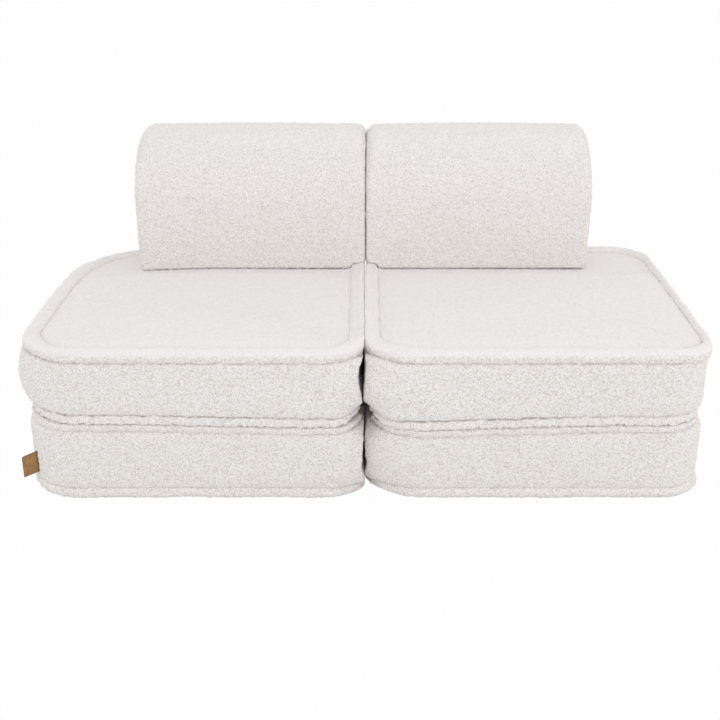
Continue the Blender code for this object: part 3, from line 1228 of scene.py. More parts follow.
@dataclass(frozen=True)
class Edge:
    """One rolled edge of a cushion.

    Attributes:
        crest: the height of its crest.
        sign: 1 for an upper edge and -1 for a lower one.
        share: how much of its height it keeps under the weight on it.
        seam: how far the band is drawn in at its seam.
        stitch: how dark its seam is, partly the fabric's tone and partly painted shade.
    """

    crest: float
    sign: int
    share: float
    seam: float
    stitch: float

    def at(self, drop: float) -> float:
        """The height of a point that lies at a drop from the crest of an edge that isn't pressed."""
        return self.crest - self.sign * self.share * drop


@dataclass
class FlatCushion:
    """A floor cushion: two panels and a side band, joined by rolled edges, round a foam core.

    Attributes:
        side: the stack that it belongs to.
        level: base or seat.
        wardrobe: the finishes.
        radii: the radius of each corner of its outline.
        bulge: how far the outer side of its band swells past the outline.
        roll: the radius of a rolled edge.
        roll_drop: how far the roll's centre lies below the cushion's highest edge.
        roll_span: how tall an unpressed roll is, from its crest to its seam on the band.
        panel_inset: where a panel's rim passes under the roll.
        panel_rim_drop: how deep that rim lies.
        panel_thickness: how thick a panel is.
        seam_width: how fast the band rises from a seam.
        panel_seam_width: the same on a panel.
        band_inset: how far the band lies inside the outline at mid height.
        band_tuck: how far below the highest edge the band passes under the roll.
        lining: how far inside the outline the band's lining lies.
        flat_drop: how far a panel that lies on another lies below the rolls.
        seat_drop: how far the seat's rim lies below the rolls.
        seat_crown: how far its middle rises.
        press: how far the backrest sinks into it.
        press_depths: where it begins to sink, measured from the front.
        dips: how far the plane between base and seat sags far from the gap and near it.
        corner_lift: how far the seat's lower front corner next to the gap turns up.
        slump: how far its rear outer corner hangs down.
        fullness: how far the band swells at the front corner next to the gap.
        closings: how far that corner is pressed towards the other stack: outer rolls, band, inner rolls.
        contact_fill: how much squarer a rolled edge is where base and seat meet.
        floor_fill: how much squarer the rolled edge on the floor is.
        gap_fill: how much squarer the upper rolled edge is next to the gap.
        rear_room: how far the right seat stays from the left backrest's end when it is lifted past it.
        core_depth: how far the foam's top lies below the cushion's highest edge.
        lining_drop: how far the inner side of a panel does.
        lit_top_wash: how much less the curls show where the seat's fabric faces up, painted light that turns
            them into the flat colour.
        slopes: the normal's rise where they begin to fade and where they have faded.
        spacing: the length of a mesh step on the cover.
        hidden_spacing: the same on panels that lie on something.
        drape_spacing: the same on the coarse copy for the cloth simulation.
    """

    side: Side
    level: Level
    wardrobe: Wardrobe
    radii: tuple[float, float, float, float]
    bulge: float = 0.0
    roll: float = 0.0135
    roll_drop: float = 0.0130
    roll_span: float = 0.02406
    panel_inset: float = 0.0242
    panel_rim_drop: float = 0.0086
    panel_thickness: float = 0.0060
    seam_width: float = 0.0070
    panel_seam_width: float = 0.0105
    band_inset: float = 0.0018
    band_tuck: float = 0.0225
    lining: float = 0.0135
    flat_drop: float = 0.0030
    seat_drop: float = 0.0035
    seat_crown: float = 0.0080
    press: float = 0.0112
    press_depths: Point = (0.400, 0.466)
    dips: Point = (0.001, 0.009)
    corner_lift: float = 0.0105
    slump: float = 0.0
    fullness: float = 0.013
    closings: Point3 = (0.0050, 0.0160, -0.0050)
    contact_fill: float = 0.20
    floor_fill: float = 0.15
    gap_fill: float = 0.50
    rear_room: float = 0.0048
    core_depth: float = 0.0220
    lining_drop: float = 0.0180
    lit_top_wash: float = 0.80
    slopes: Point = (0.08, 0.55)
    spacing: float = 0.0024
    hidden_spacing: float = 0.0050
    drape_spacing: float = 0.016

    def __post_init__(self) -> None:
        """Read the cushion's place and size from the frame."""
        self.name = f"{self.side.value}_{self.level.value}"
        lower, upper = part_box(self.name + "_bottom_roll"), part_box(self.name + "_top_roll")
        self.bottom, self.top = lower[0].z, upper[1].z
        looks = SEAMS[self.level]
        rows = ((self.bottom, -1, lower, looks[0]), (self.top, 1, upper, looks[1]))
        self.edges = [
            Edge(crest, sign, (box[1].z - box[0].z) / self.roll_span, *look)
            for crest, sign, box, look in rows]
        low, high = upper
        self.outline = Outline(
            ((low.x + high.x) / 2, (low.y + high.y) / 2),
            ((high.x - low.x) / 2, (high.y - low.y) / 2), self.radii)
        self.front = low.y
        self.drape = Drape(self.name)
        self.outer = -1 if self.side is Side.LEFT else 1

    def held(self, points: np.ndarray) -> np.ndarray:
        """Which points of the cover are sewn down or pressed.

        Args:
            points: places on the coarse copy.

        Returns:
            True for each that can't move.
        """
        ends = np.minimum(self.top - points[:, 2], points[:, 2] - self.bottom)
        inside = self.outline.inside(points)
        seams = (ends < self.band_tuck + 0.003) & (inside < self.panel_inset + 0.008)
        below = points[:, 2] < self.bottom + WELD
        above = points[:, 2] > self.top - WELD
        under = (self.level is Level.BASE) | (points[:, 1] - self.front > self.press_depths[0])
        pressed = below | (above & under)
        rear = points[:, 1] > self.outline.centre[1] + self.outline.half[1] - 0.01
        return seams | pressed | rear | (from_slot(points) < 0.02)

    def hang(self) -> Drape:
        """Prepare the cloth simulation of its cover."""
        self.drape.hang(coarse_block(self.outline, self.bottom, self.top, self.drape_spacing), self.held)
        return self.drape

    def contact(self, points: np.ndarray) -> np.ndarray:
        """How freely the pile stands: 1 in the open and little where the cushion is pressed.

        Args:
            points: places on the cover.

        Returns:
            One share for each point.
        """
        share = 0.85 + 0.15 * smooth_step(points[:, 2] - self.bottom, 0.0003, 0.0025)
        if self.level is Level.BASE:
            share *= 0.8 + 0.2 * smooth_step(self.top - points[:, 2], 0.0005, 0.0035)
        return share

    def facing(self, out: np.ndarray, low: float, high: float) -> np.ndarray:
        """How squarely the cover faces the other stack, 0 at low and 1 at high, for each direction."""
        return smooth_step(-self.outer * out[:, 0], low, high)

    def ripple(self, points: np.ndarray, edge: "Edge") -> np.ndarray:
        """How far the seam of a rolled edge rises and falls at each point round the cushion."""
        flat = points * (1, 1, 0)
        seed = 20 + 2 * edge.sign + (7 if self.level is Level.SEAT else 0)
        return Waves(0.0009, 0.034, seed).at(flat) + Waves(0.0006, 0.012, seed + 1).at(flat)

    def opening(self, points: np.ndarray) -> np.ndarray:
        """How far the cover stays from the plane where the stacks meet, for each point."""
        heights, sides = SLOTS[self.level]
        front = smooth_step(points[:, 1], *FADES.slot)
        opening = MEETING_EASE + (np.interp(points[:, 2], heights, sides[self.side]) - MEETING_EASE) * front
        if self.name == "right_seat":
            opening += self.rear_room * smooth_step(points[:, 1], *FADES.room)
        return opening

    def dip(self, points: np.ndarray) -> np.ndarray:
        """How far the cover sags with the plane on which the seat rests.

        Args:
            points: places on the cover.

        Returns:
            One distance for each point.
        """
        near = smooth_step(from_slot(points), *FADES.sag)
        front = smooth_step(points[:, 1], *FADES.sag_depths)
        if self.level is Level.BASE:
            weight = smooth_step(points[:, 2], *(self.top - reach for reach in FADES.base_sag))
        else:
            weight = smooth_step(points[:, 2], *(self.bottom + reach for reach in FADES.seat_sag))
        flat = points * (1, 1, 0)
        waves = WAVES["contact_slow"].at(flat) + WAVES["contact_quick"].at(flat)
        sag = self.dips[0] + (self.dips[1] - self.dips[0]) * near
        if self.level is Level.SEAT:
            sag -= self.corner_lift * smooth_step(from_slot(points), *FADES.lift)
        return (sag * front + waves) * weight

    def from_side(self, points: np.ndarray) -> np.ndarray:
        """How far each point lies from the cushion's outer side."""
        far = self.outline.centre[0] + self.outer * self.outline.half[0]
        return self.outer * (far - points[:, 0])

    def from_plane(self, points: np.ndarray) -> np.ndarray:
        """How far each point lies above or below the plane on which the seat rests."""
        return self.top - points[:, 2] if self.level is Level.BASE else points[:, 2] - self.bottom

    def spread(self, points: np.ndarray) -> np.ndarray:
        """How far the seat's top is moved along x, so that its panel begins elsewhere, for each point."""
        away = self.from_side(points)
        seam = 2 * self.roll
        share = smooth_step(away, 0.0, seam) * smooth_step(away, 5 * seam, seam)
        return self.outer * SPREADS[self.side] * share * smooth_step(points[:, 1], *FADES.spread)

    def slumped(self, points: np.ndarray) -> np.ndarray:
        """How far the upper cover hangs down towards the cushion's rear outer corner, for each point."""
        corner = np.array(self.outline.centre) + np.array(self.outline.half) * (self.outer, 1)
        away = np.linalg.norm(points[:, :2] - corner, axis=1)
        high = smooth_step(points[:, 2] - self.bottom, *FADES.slump_heights)
        return self.slump * smooth_step(away, *FADES.slump) * high

    def finish(self, obj: bpy.types.Object, pile: np.ndarray, crease: np.ndarray, *nodes: str) -> None:
        """Raise the pile on a piece of the cover and dress it.

        Args:
            obj: the piece.
            pile: how much pile each vertex has.
            crease: how dark each vertex is in a seam, partly the fabric's tone and partly painted shade.
            nodes: the CAD nodes' names without the cushion's name.
        """
        before = read_points(obj.data)
        # Paint the shadow in the hollows next to the slot and under the backrests into the fabric.
        for centre, reach in HOLLOWS:
            away = np.linalg.norm((before - centre) / reach, axis=1)
            crease = np.maximum(crease, HOLLOW_SHADE * smooth_step(away, *HOLLOW_FADE))
        write_values(obj.data, "crease", crease)
        # Painted light washes out the curls on the seat's top only.
        lit_top_wash = self.lit_top_wash if self.level is Level.SEAT and nodes[0].startswith("top") else 0.0
        points = self.wardrobe.raise_pile(obj, pile, lit_top_wash, self.slopes, 1.0)
        self.wardrobe.hold(points, self.side, GAP_X, self.opening(points))
        points[:, 2] = np.maximum(points[:, 2], self.bottom + CONTACT_EASE)
        if self.level is Level.BASE:
            points[:, 2] = np.minimum(points[:, 2], self.top - CONTACT_EASE)
        points[:, 2] -= self.dip(points) + self.slumped(points)
        write_points(obj.data, points)
        replaced = tuple(f"{self.name}_{node}" for node in nodes)
        Piece(obj, self.name, replaced, "boucle", 0.8).dress(self.wardrobe.cover)

    def drawn(self, points: np.ndarray) -> np.ndarray:
        """How far the cover is drawn in on the outer side where base and seat meet, for each point."""
        near_side = smooth_step(self.from_side(points), *FADES.draw)
        return DRAWS[self.side] * near_side * smooth_step(self.from_plane(points), *FADES.draw_heights)

    def shut(self, points: np.ndarray, out: np.ndarray, closing: float | np.ndarray) -> None:
        """Press the cover towards the other stack where its front corner turns into the gap.

        Args:
            points: places on the cover, which are changed.
            out: the outward directions there.
            closing: how far.
        """
        facing = self.facing(out, *FADES.shut_facing)
        points[:, 0] -= self.outer * closing * facing * smooth_step(points[:, 1], *FADES.shut)

    def rolled_edge(self, edge: Edge) -> None:
        """The stuffed bead round the upper or the lower edge.

        Args:
            edge: which of the two.
        """
        height = edge.at(self.roll_drop)
        bm = bmesh.new()
        turned = Matrix.Diagonal((1, 1, edge.share, 1)) @ Matrix.Rotation(math.pi / 2, 4, "Y")
        place = Matrix.Translation(self.outline.start(self.roll, height)) @ turned
        segments = round(2 * math.pi * self.roll / self.spacing / 1.1)
        bmesh.ops.create_circle(bm, cap_ends=False, radius=self.roll, segments=segments, matrix=place)
        self.outline.sweep(bm, list(bm.verts) + list(bm.edges), self.spacing)
        obj = to_object(bm, f"{self.name}_{'top' if edge.sign > 0 else 'bottom'}_rolled_edge")
        points = read_points(obj.data)
        inside, out = self.outline.nearest(points)
        above = edge.sign * (points[:, 2] - height) / edge.share
        angle = np.degrees(np.arctan2(above, inside - self.roll)) % 360
        at_contact = (edge.sign > 0) == (self.level is Level.BASE)
        if at_contact:
            filled = self.contact_fill * (1 + WAVES["roll_fill"].at(points * (1, 1, 0)))
        else:
            filled = self.gap_fill * self.facing(out, *FADES.gap_fill)
            if self.level is Level.BASE:
                filled = self.floor_fill
        corner = 1 + filled * np.maximum(-np.sin(np.radians(2 * angle)), 0) * (angle < 180)
        points[:, :2] -= out * ((inside - self.roll) * (corner - 1))[:, None]
        points[:, 2] = height + (points[:, 2] - height) * corner
        shown = smooth_step(angle, 8, 40) * smooth_step(angle, 250, 215)
        # The seam under the roll is painted darker, partly the fabric's tone and partly painted shade.
        crease = edge.stitch * smooth_step(angle, 218, 238)
        points[:, :2] += out * WAVES["roll_side"].at(points)[:, None]
        uneven = 1 + WAVES["roll_height"].at(points) * (angle < 180)
        points[:, 2] = height + (points[:, 2] - height) * uneven
        points[:, 2] += self.ripple(points, edge) * (0.4 + 0.6 * smooth_step(angle, 120, 200))
        points[:, 0] -= self.outer * self.drawn(points)
        if not at_contact and self.level is Level.SEAT:
            points[:, 0] += self.spread(points)
        closing = self.closings[2 if at_contact else 0]
        self.shut(points, out, closing * smooth_step(inside, *FADES.shut_inside))
        crease *= self.faded(points)
        write_points(obj.data, points)
        self.finish(obj, shown * self.contact(points), crease, "top_roll" if edge.sign > 0 else "bottom_roll")

    def faded(self, points: np.ndarray) -> np.ndarray:
        """How much of a seam's darkness, partly tone and partly painted shade, is left at each point, less
        where the front turns into the gap.
        """
        near = 1 - 0.8 * smooth_step(from_slot(points), *FADES.near_slot)
        low = points[:, 2] < (self.bottom + self.top) / 2
        return near * (1 - 0.75 * smooth_step(points[:, 0], *FADES.far_right) * low)

    def side_band(self) -> None:
        """The boxing between the rolled edges, with a groove for the zip at the rear."""
        low, high = (edge.at(self.band_tuck) for edge in self.edges)
        rows = round((high - low) / self.spacing)
        section = []
        for row in range(rows + 1):
            height = low + (high - low) * row / rows
            inset = self.band_inset
            for edge, rim in zip(self.edges, (low, high)):
                inset += (edge.seam - self.band_inset) * math.exp(-abs(height - rim) / self.seam_width)
            section.append((inset, height))
        section += [(self.lining, high), (self.lining, low)]
        bm = bmesh.new()
        start = chain(bm, [self.outline.start(*point) for point in section], closed=True)
        self.outline.sweep(bm, start, self.spacing)
        obj = to_object(bm, self.name + "_side_band_boxing")
        points = read_points(obj.data)
        inside, out = self.outline.nearest(points)
        outer = smooth_step(inside, self.lining, self.lining - 0.003)
        rise = np.sin(np.pi * np.clip((points[:, 2] - low) / (high - low), 0, 1))
        points[:, :2] += out * (outer * rise * WAVES["band"].at(points))[:, None]
        near_side = smooth_step(self.from_side(points), *FADES.bulge)
        points[:, 0] += self.outer * self.bulge * rise ** 0.75 * near_side * outer
        corner = np.maximum(-2 * self.outer * out[:, 0], 0) * np.maximum(-out[:, 1], 0) * outer
        points[:, :2] += out * (self.fullness * corner * (0.35 + 0.65 * rise))[:, None]
        points[:, 0] -= self.outer * self.drawn(points)
        away = smooth_step(self.from_plane(points), *FADES.band_heights)
        self.shut(points, out, self.closings[1] * away * outer)
        for edge, rim in zip(self.edges, (low, high)):
            points[:, 2] += self.ripple(points, edge) * np.exp(-np.abs(points[:, 2] - rim) / 0.010) * outer
        points += self.drape.shift(points)
        groove = zip_groove(points, self.name, outer > 0)
        write_points(obj.data, points)
        pile = outer * smooth_step(np.minimum(points[:, 2] - low, high - points[:, 2]), -0.002, 0.006)
        # The seams at the band's rims are painted darker, partly the fabric's tone and partly painted shade.
        crease = self.edges[0].stitch * smooth_step(points[:, 2] - low, 0.0036, 0.0014)
        crease += self.edges[1].stitch * smooth_step(high - points[:, 2], 0.0036, 0.0014)
        self.finish(obj, pile * (1 - groove), crease * outer * self.faded(points), "side_band")

    def panel_drop(self, points: np.ndarray) -> np.ndarray:
        """How far the seat's panel lies below the roll's crest, away from its seams.

        Args:
            points: places on the panel.

        Returns:
            One drop for each point.
        """
        depth = points[:, 1] - self.front
        side = 2 * self.outline.half[0]
        across = np.cos(np.pi * (points[:, 0] - self.outline.centre[0]) / side)
        along = np.maximum(np.cos(np.pi * (depth - 0.22) / side), 0)
        pressed = smooth_step(depth, *self.press_depths)
        crowned = self.seat_drop - self.seat_crown * across * along
        return crowned * (1 - pressed) + self.press * pressed

    def panel(self, edge: Edge) -> None:
        """The upper or the lower panel, with its rim under the rolled edge.

        Args:
            edge: the rolled edge round it.
        """
        at_top = edge.sign > 0
        shown = at_top and self.level is Level.SEAT
        rim = self.outline.drawn_in(self.panel_inset)
        bm = rim.grid(self.spacing if shown else self.hidden_spacing)
        turn_lip(bm, -self.panel_thickness)
        obj = to_object(bm, f"{self.name}_{'top' if at_top else 'bottom'}_cover_panel")
        points = read_points(obj.data)
        inner = points[:, 2] < -self.panel_thickness / 2
        inside = rim.inside(points)
        rim_drop = self.panel_rim_drop * edge.share * (0.8 + 0.2 * self.faded(points))
        if self.side is Side.LEFT:
            rim_drop *= 1 - 0.45 * smooth_step(points[:, 1], *FADES.rim)
        if shown:
            flat = self.panel_drop(points) + WAVES["panel"].at(points)
        else:
            flat = np.full(len(points), self.flat_drop if at_top or self.level is Level.SEAT else 0.0)
        drop = flat + (rim_drop - flat) * np.exp(-np.maximum(inside, 0) / self.panel_seam_width)
        drop = np.where(inner, self.lining_drop, drop)
        points[:, 2] = edge.crest - edge.sign * drop
        if shown:
            points += self.drape.shift(points)
            points[:, 0] += self.spread(points)
        write_points(obj.data, points)
        if not at_top:
            obj.data.flip_normals()
        pile = np.where(inner, 0.0, smooth_step(inside, -0.001, 0.006))
        if shown:
            pile *= 1 - 0.6 * smooth_step(points[:, 1] - self.front, *FADES.behind)
        else:
            pile *= 0.35
        # The panel's seam under the roll is painted darker, partly the fabric's tone and partly painted
        # shade.
        crease = (0.5 if self.side is Side.RIGHT else 0.2) * smooth_step(inside, 0.0045, 0.0018)
        self.finish(obj, pile, crease * self.faded(points), "top_panel" if at_top else "bottom_panel")

    def core(self) -> None:
        """The foam block."""
        ring = self.outline.drawn_in(self.lining + 0.001)
        low = self.bottom + 0.0165
        high = self.top - self.core_depth - self.slump
        bm = bmesh.new()
        ring.sweep(bm, [bm.verts.new(ring.start(0, low))], 0.012)
        face = bmesh.ops.contextual_create(bm, geom=list(bm.edges))["faces"]
        raise_faces(bm, face, high - low)
        rims = [e for e in bm.edges if abs(e.verts[0].co.z - e.verts[1].co.z) < WELD]
        bmesh.ops.bevel(bm, geom=rims, offset=0.006, segments=3, profile=0.5, affect="EDGES", material=-1)
        obj = to_object(bm, self.name + "_foam_block")
        Piece(obj, self.name, (self.name + "_foam_core",), "foam", 1.0).dress(self.wardrobe.foam)

    def build(self) -> None:
        """Make all parts of the cushion."""
        for edge in self.edges:
            self.rolled_edge(edge)
            self.panel(edge)
        self.side_band()
        self.core()
        Zip(self.name, self.wardrobe).build()


# Backrest blocks


# Where the painted shade in the joint between the two blocks begins and where it is whole
JOINT_FADE = (0.0015, 0.0006)


@dataclass
class BackBlock:
    """A backrest block: a wrap round its long sides and a panel at each end, on a foam core.

    Attributes:
        side: the stack that it stands on.
        wardrobe: the finishes.
        seat: the cushion that carries it.
        ends: where its ends stand, measured from the plane between the stacks.
        top_rounds: how round its left and right ends are along the top.
        edge_round: how round they are everywhere else.
        radii: the corners of its section: front foot, rear foot, rear top, front top.
        swell: how far its ends stand out at mid height.
        reach: how far from an end its round edge draws the wrap.
        crown: how far its top rises between the ends.
        lit_top_wash: how much less the curls show where the fabric faces up, painted light that turns them
            into the flat colour.
        slopes: the normal's rise where they begin to fade and where they have faded.
        fluff: how much they show where it faces sideways; the rest takes the painted-light flat colour.
        seam_angle: where on the round edge the wrap ends and the end panel begins.
        hem: how far the wrap and the end panels are turned in.
        foot_reach: the height over which the foot sinks less and less.
        clearance: how far it stays from the seat's rolled edges.
        end_gap: how far the inner ends stay from each other's plane.
        end_seam_tone_and_shade: how dark the seam along an end is, partly the fabric's tone and partly
            painted shade.
        joint_shade: how dark the painted shade in the joint between the two blocks is.
        spacing: the length of a mesh step on the cover.
        drape_spacing: the same on the coarse copy for the cloth simulation.
    """

    side: Side
    wardrobe: Wardrobe
    seat: FlatCushion
    ends: Point
    top_rounds: Point
    edge_round: float = 0.007
    radii: tuple[float, float, float, float] = (0.008, 0.012, 0.030, 0.125)
    swell: float = 0.0015
    reach: float = 0.090
    crown: float = 0.0036
    lit_top_wash: float = 0.40
    slopes: Point = (0.50, 0.98)
    fluff: float = 0.80
    seam_angle: float = math.radians(45)
    hem: float = 0.0050
    foot_reach: float = 0.060
    clearance: float = 0.0025
    end_gap: float = 0.0005
    end_seam_tone_and_shade: float = 0.1
    joint_shade: float = 0.9
    spacing: float = 0.0024
    drape_spacing: float = 0.016

    def __post_init__(self) -> None:
        """Read the block's section from the frame."""
        self.name = self.side.value + "_backrest"
        low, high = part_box(self.name + "_wrap_cover")
        self.bottom = low.z
        self.section = Outline(
            ((low.y + high.y) / 2, (low.z + high.z) / 2),
            ((high.y - low.y) / 2, (high.z - low.z) / 2), self.radii)
        self.low_x, self.high_x = (GAP_X + end for end in self.ends)
        self.drape = Drape(self.name)

    def held(self, points: np.ndarray) -> np.ndarray:
        """Which points of the coarse copy can't move, for each point."""
        ends = np.minimum(points[:, 0] - self.low_x, self.high_x - points[:, 0])
        rear = points[:, 1] > self.section.centre[0] + self.section.half[0] - 0.01
        return (ends < 0.012) | (points[:, 2] < self.bottom + 0.035) | rear

    def hang(self) -> Drape:
        """Prepare the cloth simulation of its cover."""
        bm = coarse_block(self.section, self.low_x, self.high_x, self.drape_spacing)
        bmesh.ops.transform(bm, matrix=self.upright(), verts=bm.verts)
        self.drape.hang(bm, self.held)
        return self.drape

    def upright(self) -> Matrix:
        """The turn from a section drawn in x and y to one that stands across x."""
        return Matrix(((0, 0, 1, 0), (1, 0, 0, 0), (0, 1, 0, 0), (0, 0, 0, 1)))

    def end_round(self, points: np.ndarray, end: int) -> np.ndarray:
        """How round an end is at each point of the section.

        Args:
            points: places on the block.
            end: 0 for its left end and 1 for its right.

        Returns:
            One radius for each point.
        """
        rise = smooth_step(points[:, 2] - self.bottom, 0.120, 0.255)
        return self.edge_round + (self.top_rounds[end] - self.edge_round) * rise

    def settle(self, points: np.ndarray) -> np.ndarray:
        """Let the block's foot sink into the seat's panel, but not into its rolled edges.

        Args:
            points: places on the block.

        Returns:
            The new places.
        """
        inside = self.seat.outline.inside(points)
        roll = self.seat.roll
        past = np.clip(inside - self.clearance - roll, 0, roll)
        sunk = np.minimum(self.seat.press, roll - np.sqrt(roll ** 2 - past ** 2))
        share = 1 - smooth_step(points[:, 2] - self.bottom, 0.0, self.foot_reach)
        moved = points.copy()
        moved[:, 2] -= (sunk + self.seat.slumped(points)) * share
        return moved

    def plane(self, points: np.ndarray, end: int) -> np.ndarray:
        """Where an end's plane lies at each point, a little fuller at mid height on the outer ends.

        Args:
            points: places on the block.
            end: 0 for its left end and 1 for its right.

        Returns:
            One x for each point.
        """
        flat = (self.low_x, self.high_x)[end]
        if abs(flat - GAP_X) < 0.1:
            return np.full(len(points), flat)
        height = 2 * self.section.half[1]
        rise = np.sin(np.pi * np.clip((points[:, 2] - self.bottom) / height, 0, 1))
        return flat + (2 * end - 1) * self.swell * rise

    def finish(self, obj: bpy.types.Object, pile: np.ndarray, crease: np.ndarray, node: str) -> None:
        """Raise the pile on a piece of the cover and dress it.

        Args:
            obj: the piece.
            pile: how much pile each vertex has.
            crease: how dark each vertex is in a seam, the joint or at the foot: the fabric's tone in a seam
                and painted shade in all three.
            node: the CAD node's name without the block's name.
        """
        write_values(obj.data, "crease", crease)
        points = self.wardrobe.raise_pile(obj, pile, self.lit_top_wash, self.slopes, self.fluff)
        opening = self.end_gap + WAVES["back_end"].at(points * (0, 1, 1))
        self.wardrobe.hold(points, self.side, GAP_X + BACK_GAP, opening)
        write_points(obj.data, points)
        Piece(obj, self.name, (f"{self.name}_{node}",), "boucle", 0.9).dress(self.wardrobe.cover)

    def outward(self, points: np.ndarray) -> np.ndarray:
        """The section's outward direction at each point, as rows of x, y and z."""
        return np.insert(self.section.nearest(points[:, 1:])[1], 0, 0.0, axis=1)

    def wrap(self) -> None:
        """The strip round the front, top, back and underside."""
        bm = bmesh.new()
        length = self.high_x - self.low_x
        self.section.sweep(bm, [bm.verts.new(self.section.start(0, self.low_x))], self.spacing)
        loop = list(bm.verts) + list(bm.edges)
        bmesh.ops.spin(bm, geom=loop, cent=(0, 0, 0), axis=(0, 0, 1), dvec=(0, 0, length),
                       angle=0.0, steps=1, use_duplicate=False)
        cut_edges(bm, length, self.spacing)
        rim = [edge for edge in bm.edges if edge.is_boundary]
        hem = bmesh.ops.extrude_edge_only(bm, edges=rim)["geom"]
        centre = Vector((*self.section.centre, 0))
        shrink = [1 - self.hem / half for half in self.section.half] + [1.0]
        bmesh.ops.scale(bm, verts=verts_of(hem), vec=shrink, space=Matrix.Translation(-centre))
        hem_edges = [edge for edge in bm.edges if edge.is_boundary]
        bmesh.ops.bridge_loops(bm, edges=hem_edges)
        bmesh.ops.transform(bm, matrix=self.upright(), verts=bm.verts)
        obj = to_object(bm, self.name + "_wrap")
        points = read_points(obj.data)
        out = self.outward(points)
        hidden = self.section.inside(points[:, 1:]) > self.hem / 2
        inset = np.zeros(len(points))
        places = points.copy()
        for end, (flat, sign) in enumerate(((self.low_x, 1), (self.high_x, -1))):
            radius = self.end_round(points, end)
            gap = sign * (points[:, 0] - flat)
            fade = (1 - np.clip(gap / self.reach, 0, 1)) ** 2
            eased = gap + (1 - math.sin(self.seam_angle)) * radius * fade
            moved = flat + (self.plane(points, end) - flat) * fade + sign * eased
            places[:, 0] = np.where(gap < self.reach, moved, places[:, 0])
            left = np.clip(radius - eased, 0, radius)
            inset = np.maximum(inset, radius - np.sqrt(radius ** 2 - left ** 2))
        places -= out * inset[:, None]
        places += self.drape.shift(places)
        groove = zip_groove(places, self.name, ~hidden)
        along = np.sin(np.pi * np.clip((points[:, 0] - self.low_x) / length, 0, 1))
        places[:, 2] += self.crown * along * smooth_step(points[:, 2] - self.bottom, 0.14, 0.26)
        write_points(obj.data, self.settle(places))
        edge_gap = np.minimum(points[:, 0] - self.low_x, self.high_x - points[:, 0])
        pile = np.where(hidden, 0.0, smooth_step(edge_gap, -0.002, 0.002) * (1 - groove))
        pile *= 0.3 + 0.7 * smooth_step(points[:, 2] - self.bottom, 0.0, 0.006)
        joint = np.abs(places[:, 0] - GAP_X - BACK_GAP)
        # The seam along an end is painted darker, partly the fabric's tone and partly painted shade.
        crease = self.end_seam_tone_and_shade * smooth_step(edge_gap, 0.0040, 0.0010)
        # Painted shade in the joint between the blocks and along the foot where the block meets the seat.
        crease = np.maximum(crease, self.joint_shade * smooth_step(joint, *JOINT_FADE))
        foot = smooth_step(points[:, 2] - self.bottom, 0.0050, 0.0020) * (out[:, 1] < -0.2)
        foot *= 0.1 + 0.9 * smooth_step(from_slot(points), 0.026, 0.034)
        foot *= smooth_step(edge_gap, 0.004, 0.018)
        self.finish(obj, pile, np.maximum(crease, 0.8 * foot), "wrap_cover")

    def end_panel(self, end: int) -> None:
        """The panel that closes one end.

        Args:
            end: 0 for the left end and 1 for the right.
        """
        sign = (1, -1)[end]
        bm = self.section.grid(self.spacing)
        turn_lip(bm, 1.0)
        bmesh.ops.transform(bm, matrix=self.upright(), verts=bm.verts)
        obj = to_object(bm, f"{self.name}_{('left', 'right')[end]}_end_cover")
        points = read_points(obj.data)
        hidden = points[:, 0] > 0.5
        radius = self.end_round(points, end)
        out = self.outward(points)
        depth = np.maximum(self.section.inside(points[:, 1:]), 0)
        first = radius * (1 - math.cos(self.seam_angle))
        fade = np.clip(depth / 0.06, 0, 1)
        points -= out * (first * (1 - fade) ** 2)[:, None]
        eased = depth + first * (1 - fade) ** 2
        left = np.clip(radius - eased, 0, radius)
        step = radius - np.sqrt(radius ** 2 - left ** 2)
        step = np.where(hidden, step + self.hem, step)
        points[:, 0] = self.plane(points, end) + sign * step
        write_points(obj.data, self.settle(points))
        if end == 1:
            obj.data.flip_normals()
        pile = np.where(hidden, 0.0, smooth_step(depth, -0.002, 0.002))
        pile *= 0.3 + 0.7 * smooth_step(points[:, 2] - self.bottom, 0.0, 0.006)
        # Painted shade in the joint between the blocks.
        joint = np.abs(points[:, 0] - GAP_X - BACK_GAP)
        crease = self.joint_shade * smooth_step(joint, *JOINT_FADE) * smooth_step(depth, 0.0056, 0.0036)
        self.finish(obj, pile, crease, ("left_end_panel", "right_end_panel")[end])

    def core(self) -> None:
        """The foam block."""
        ring = self.section.drawn_in(self.hem + 0.004)
        low, high = self.low_x + 0.012, self.high_x - 0.012
        bm = bmesh.new()
        ring.sweep(bm, [bm.verts.new(ring.start(0, low))], 0.012)
        face = bmesh.ops.contextual_create(bm, geom=list(bm.edges))["faces"]
        raise_faces(bm, face, high - low)
        bmesh.ops.transform(bm, matrix=self.upright(), verts=bm.verts)
        obj = to_object(bm, self.name + "_foam_block")
        Piece(obj, self.name, (self.name + "_foam_core",), "foam", 1.0).dress(self.wardrobe.foam)

    def build(self) -> None:
        """Make all parts of the block."""
        self.wrap()
        for end in (0, 1):
            self.end_panel(end)
        self.core()
        Zip(self.name, self.wardrobe).build()


# Zip and tag


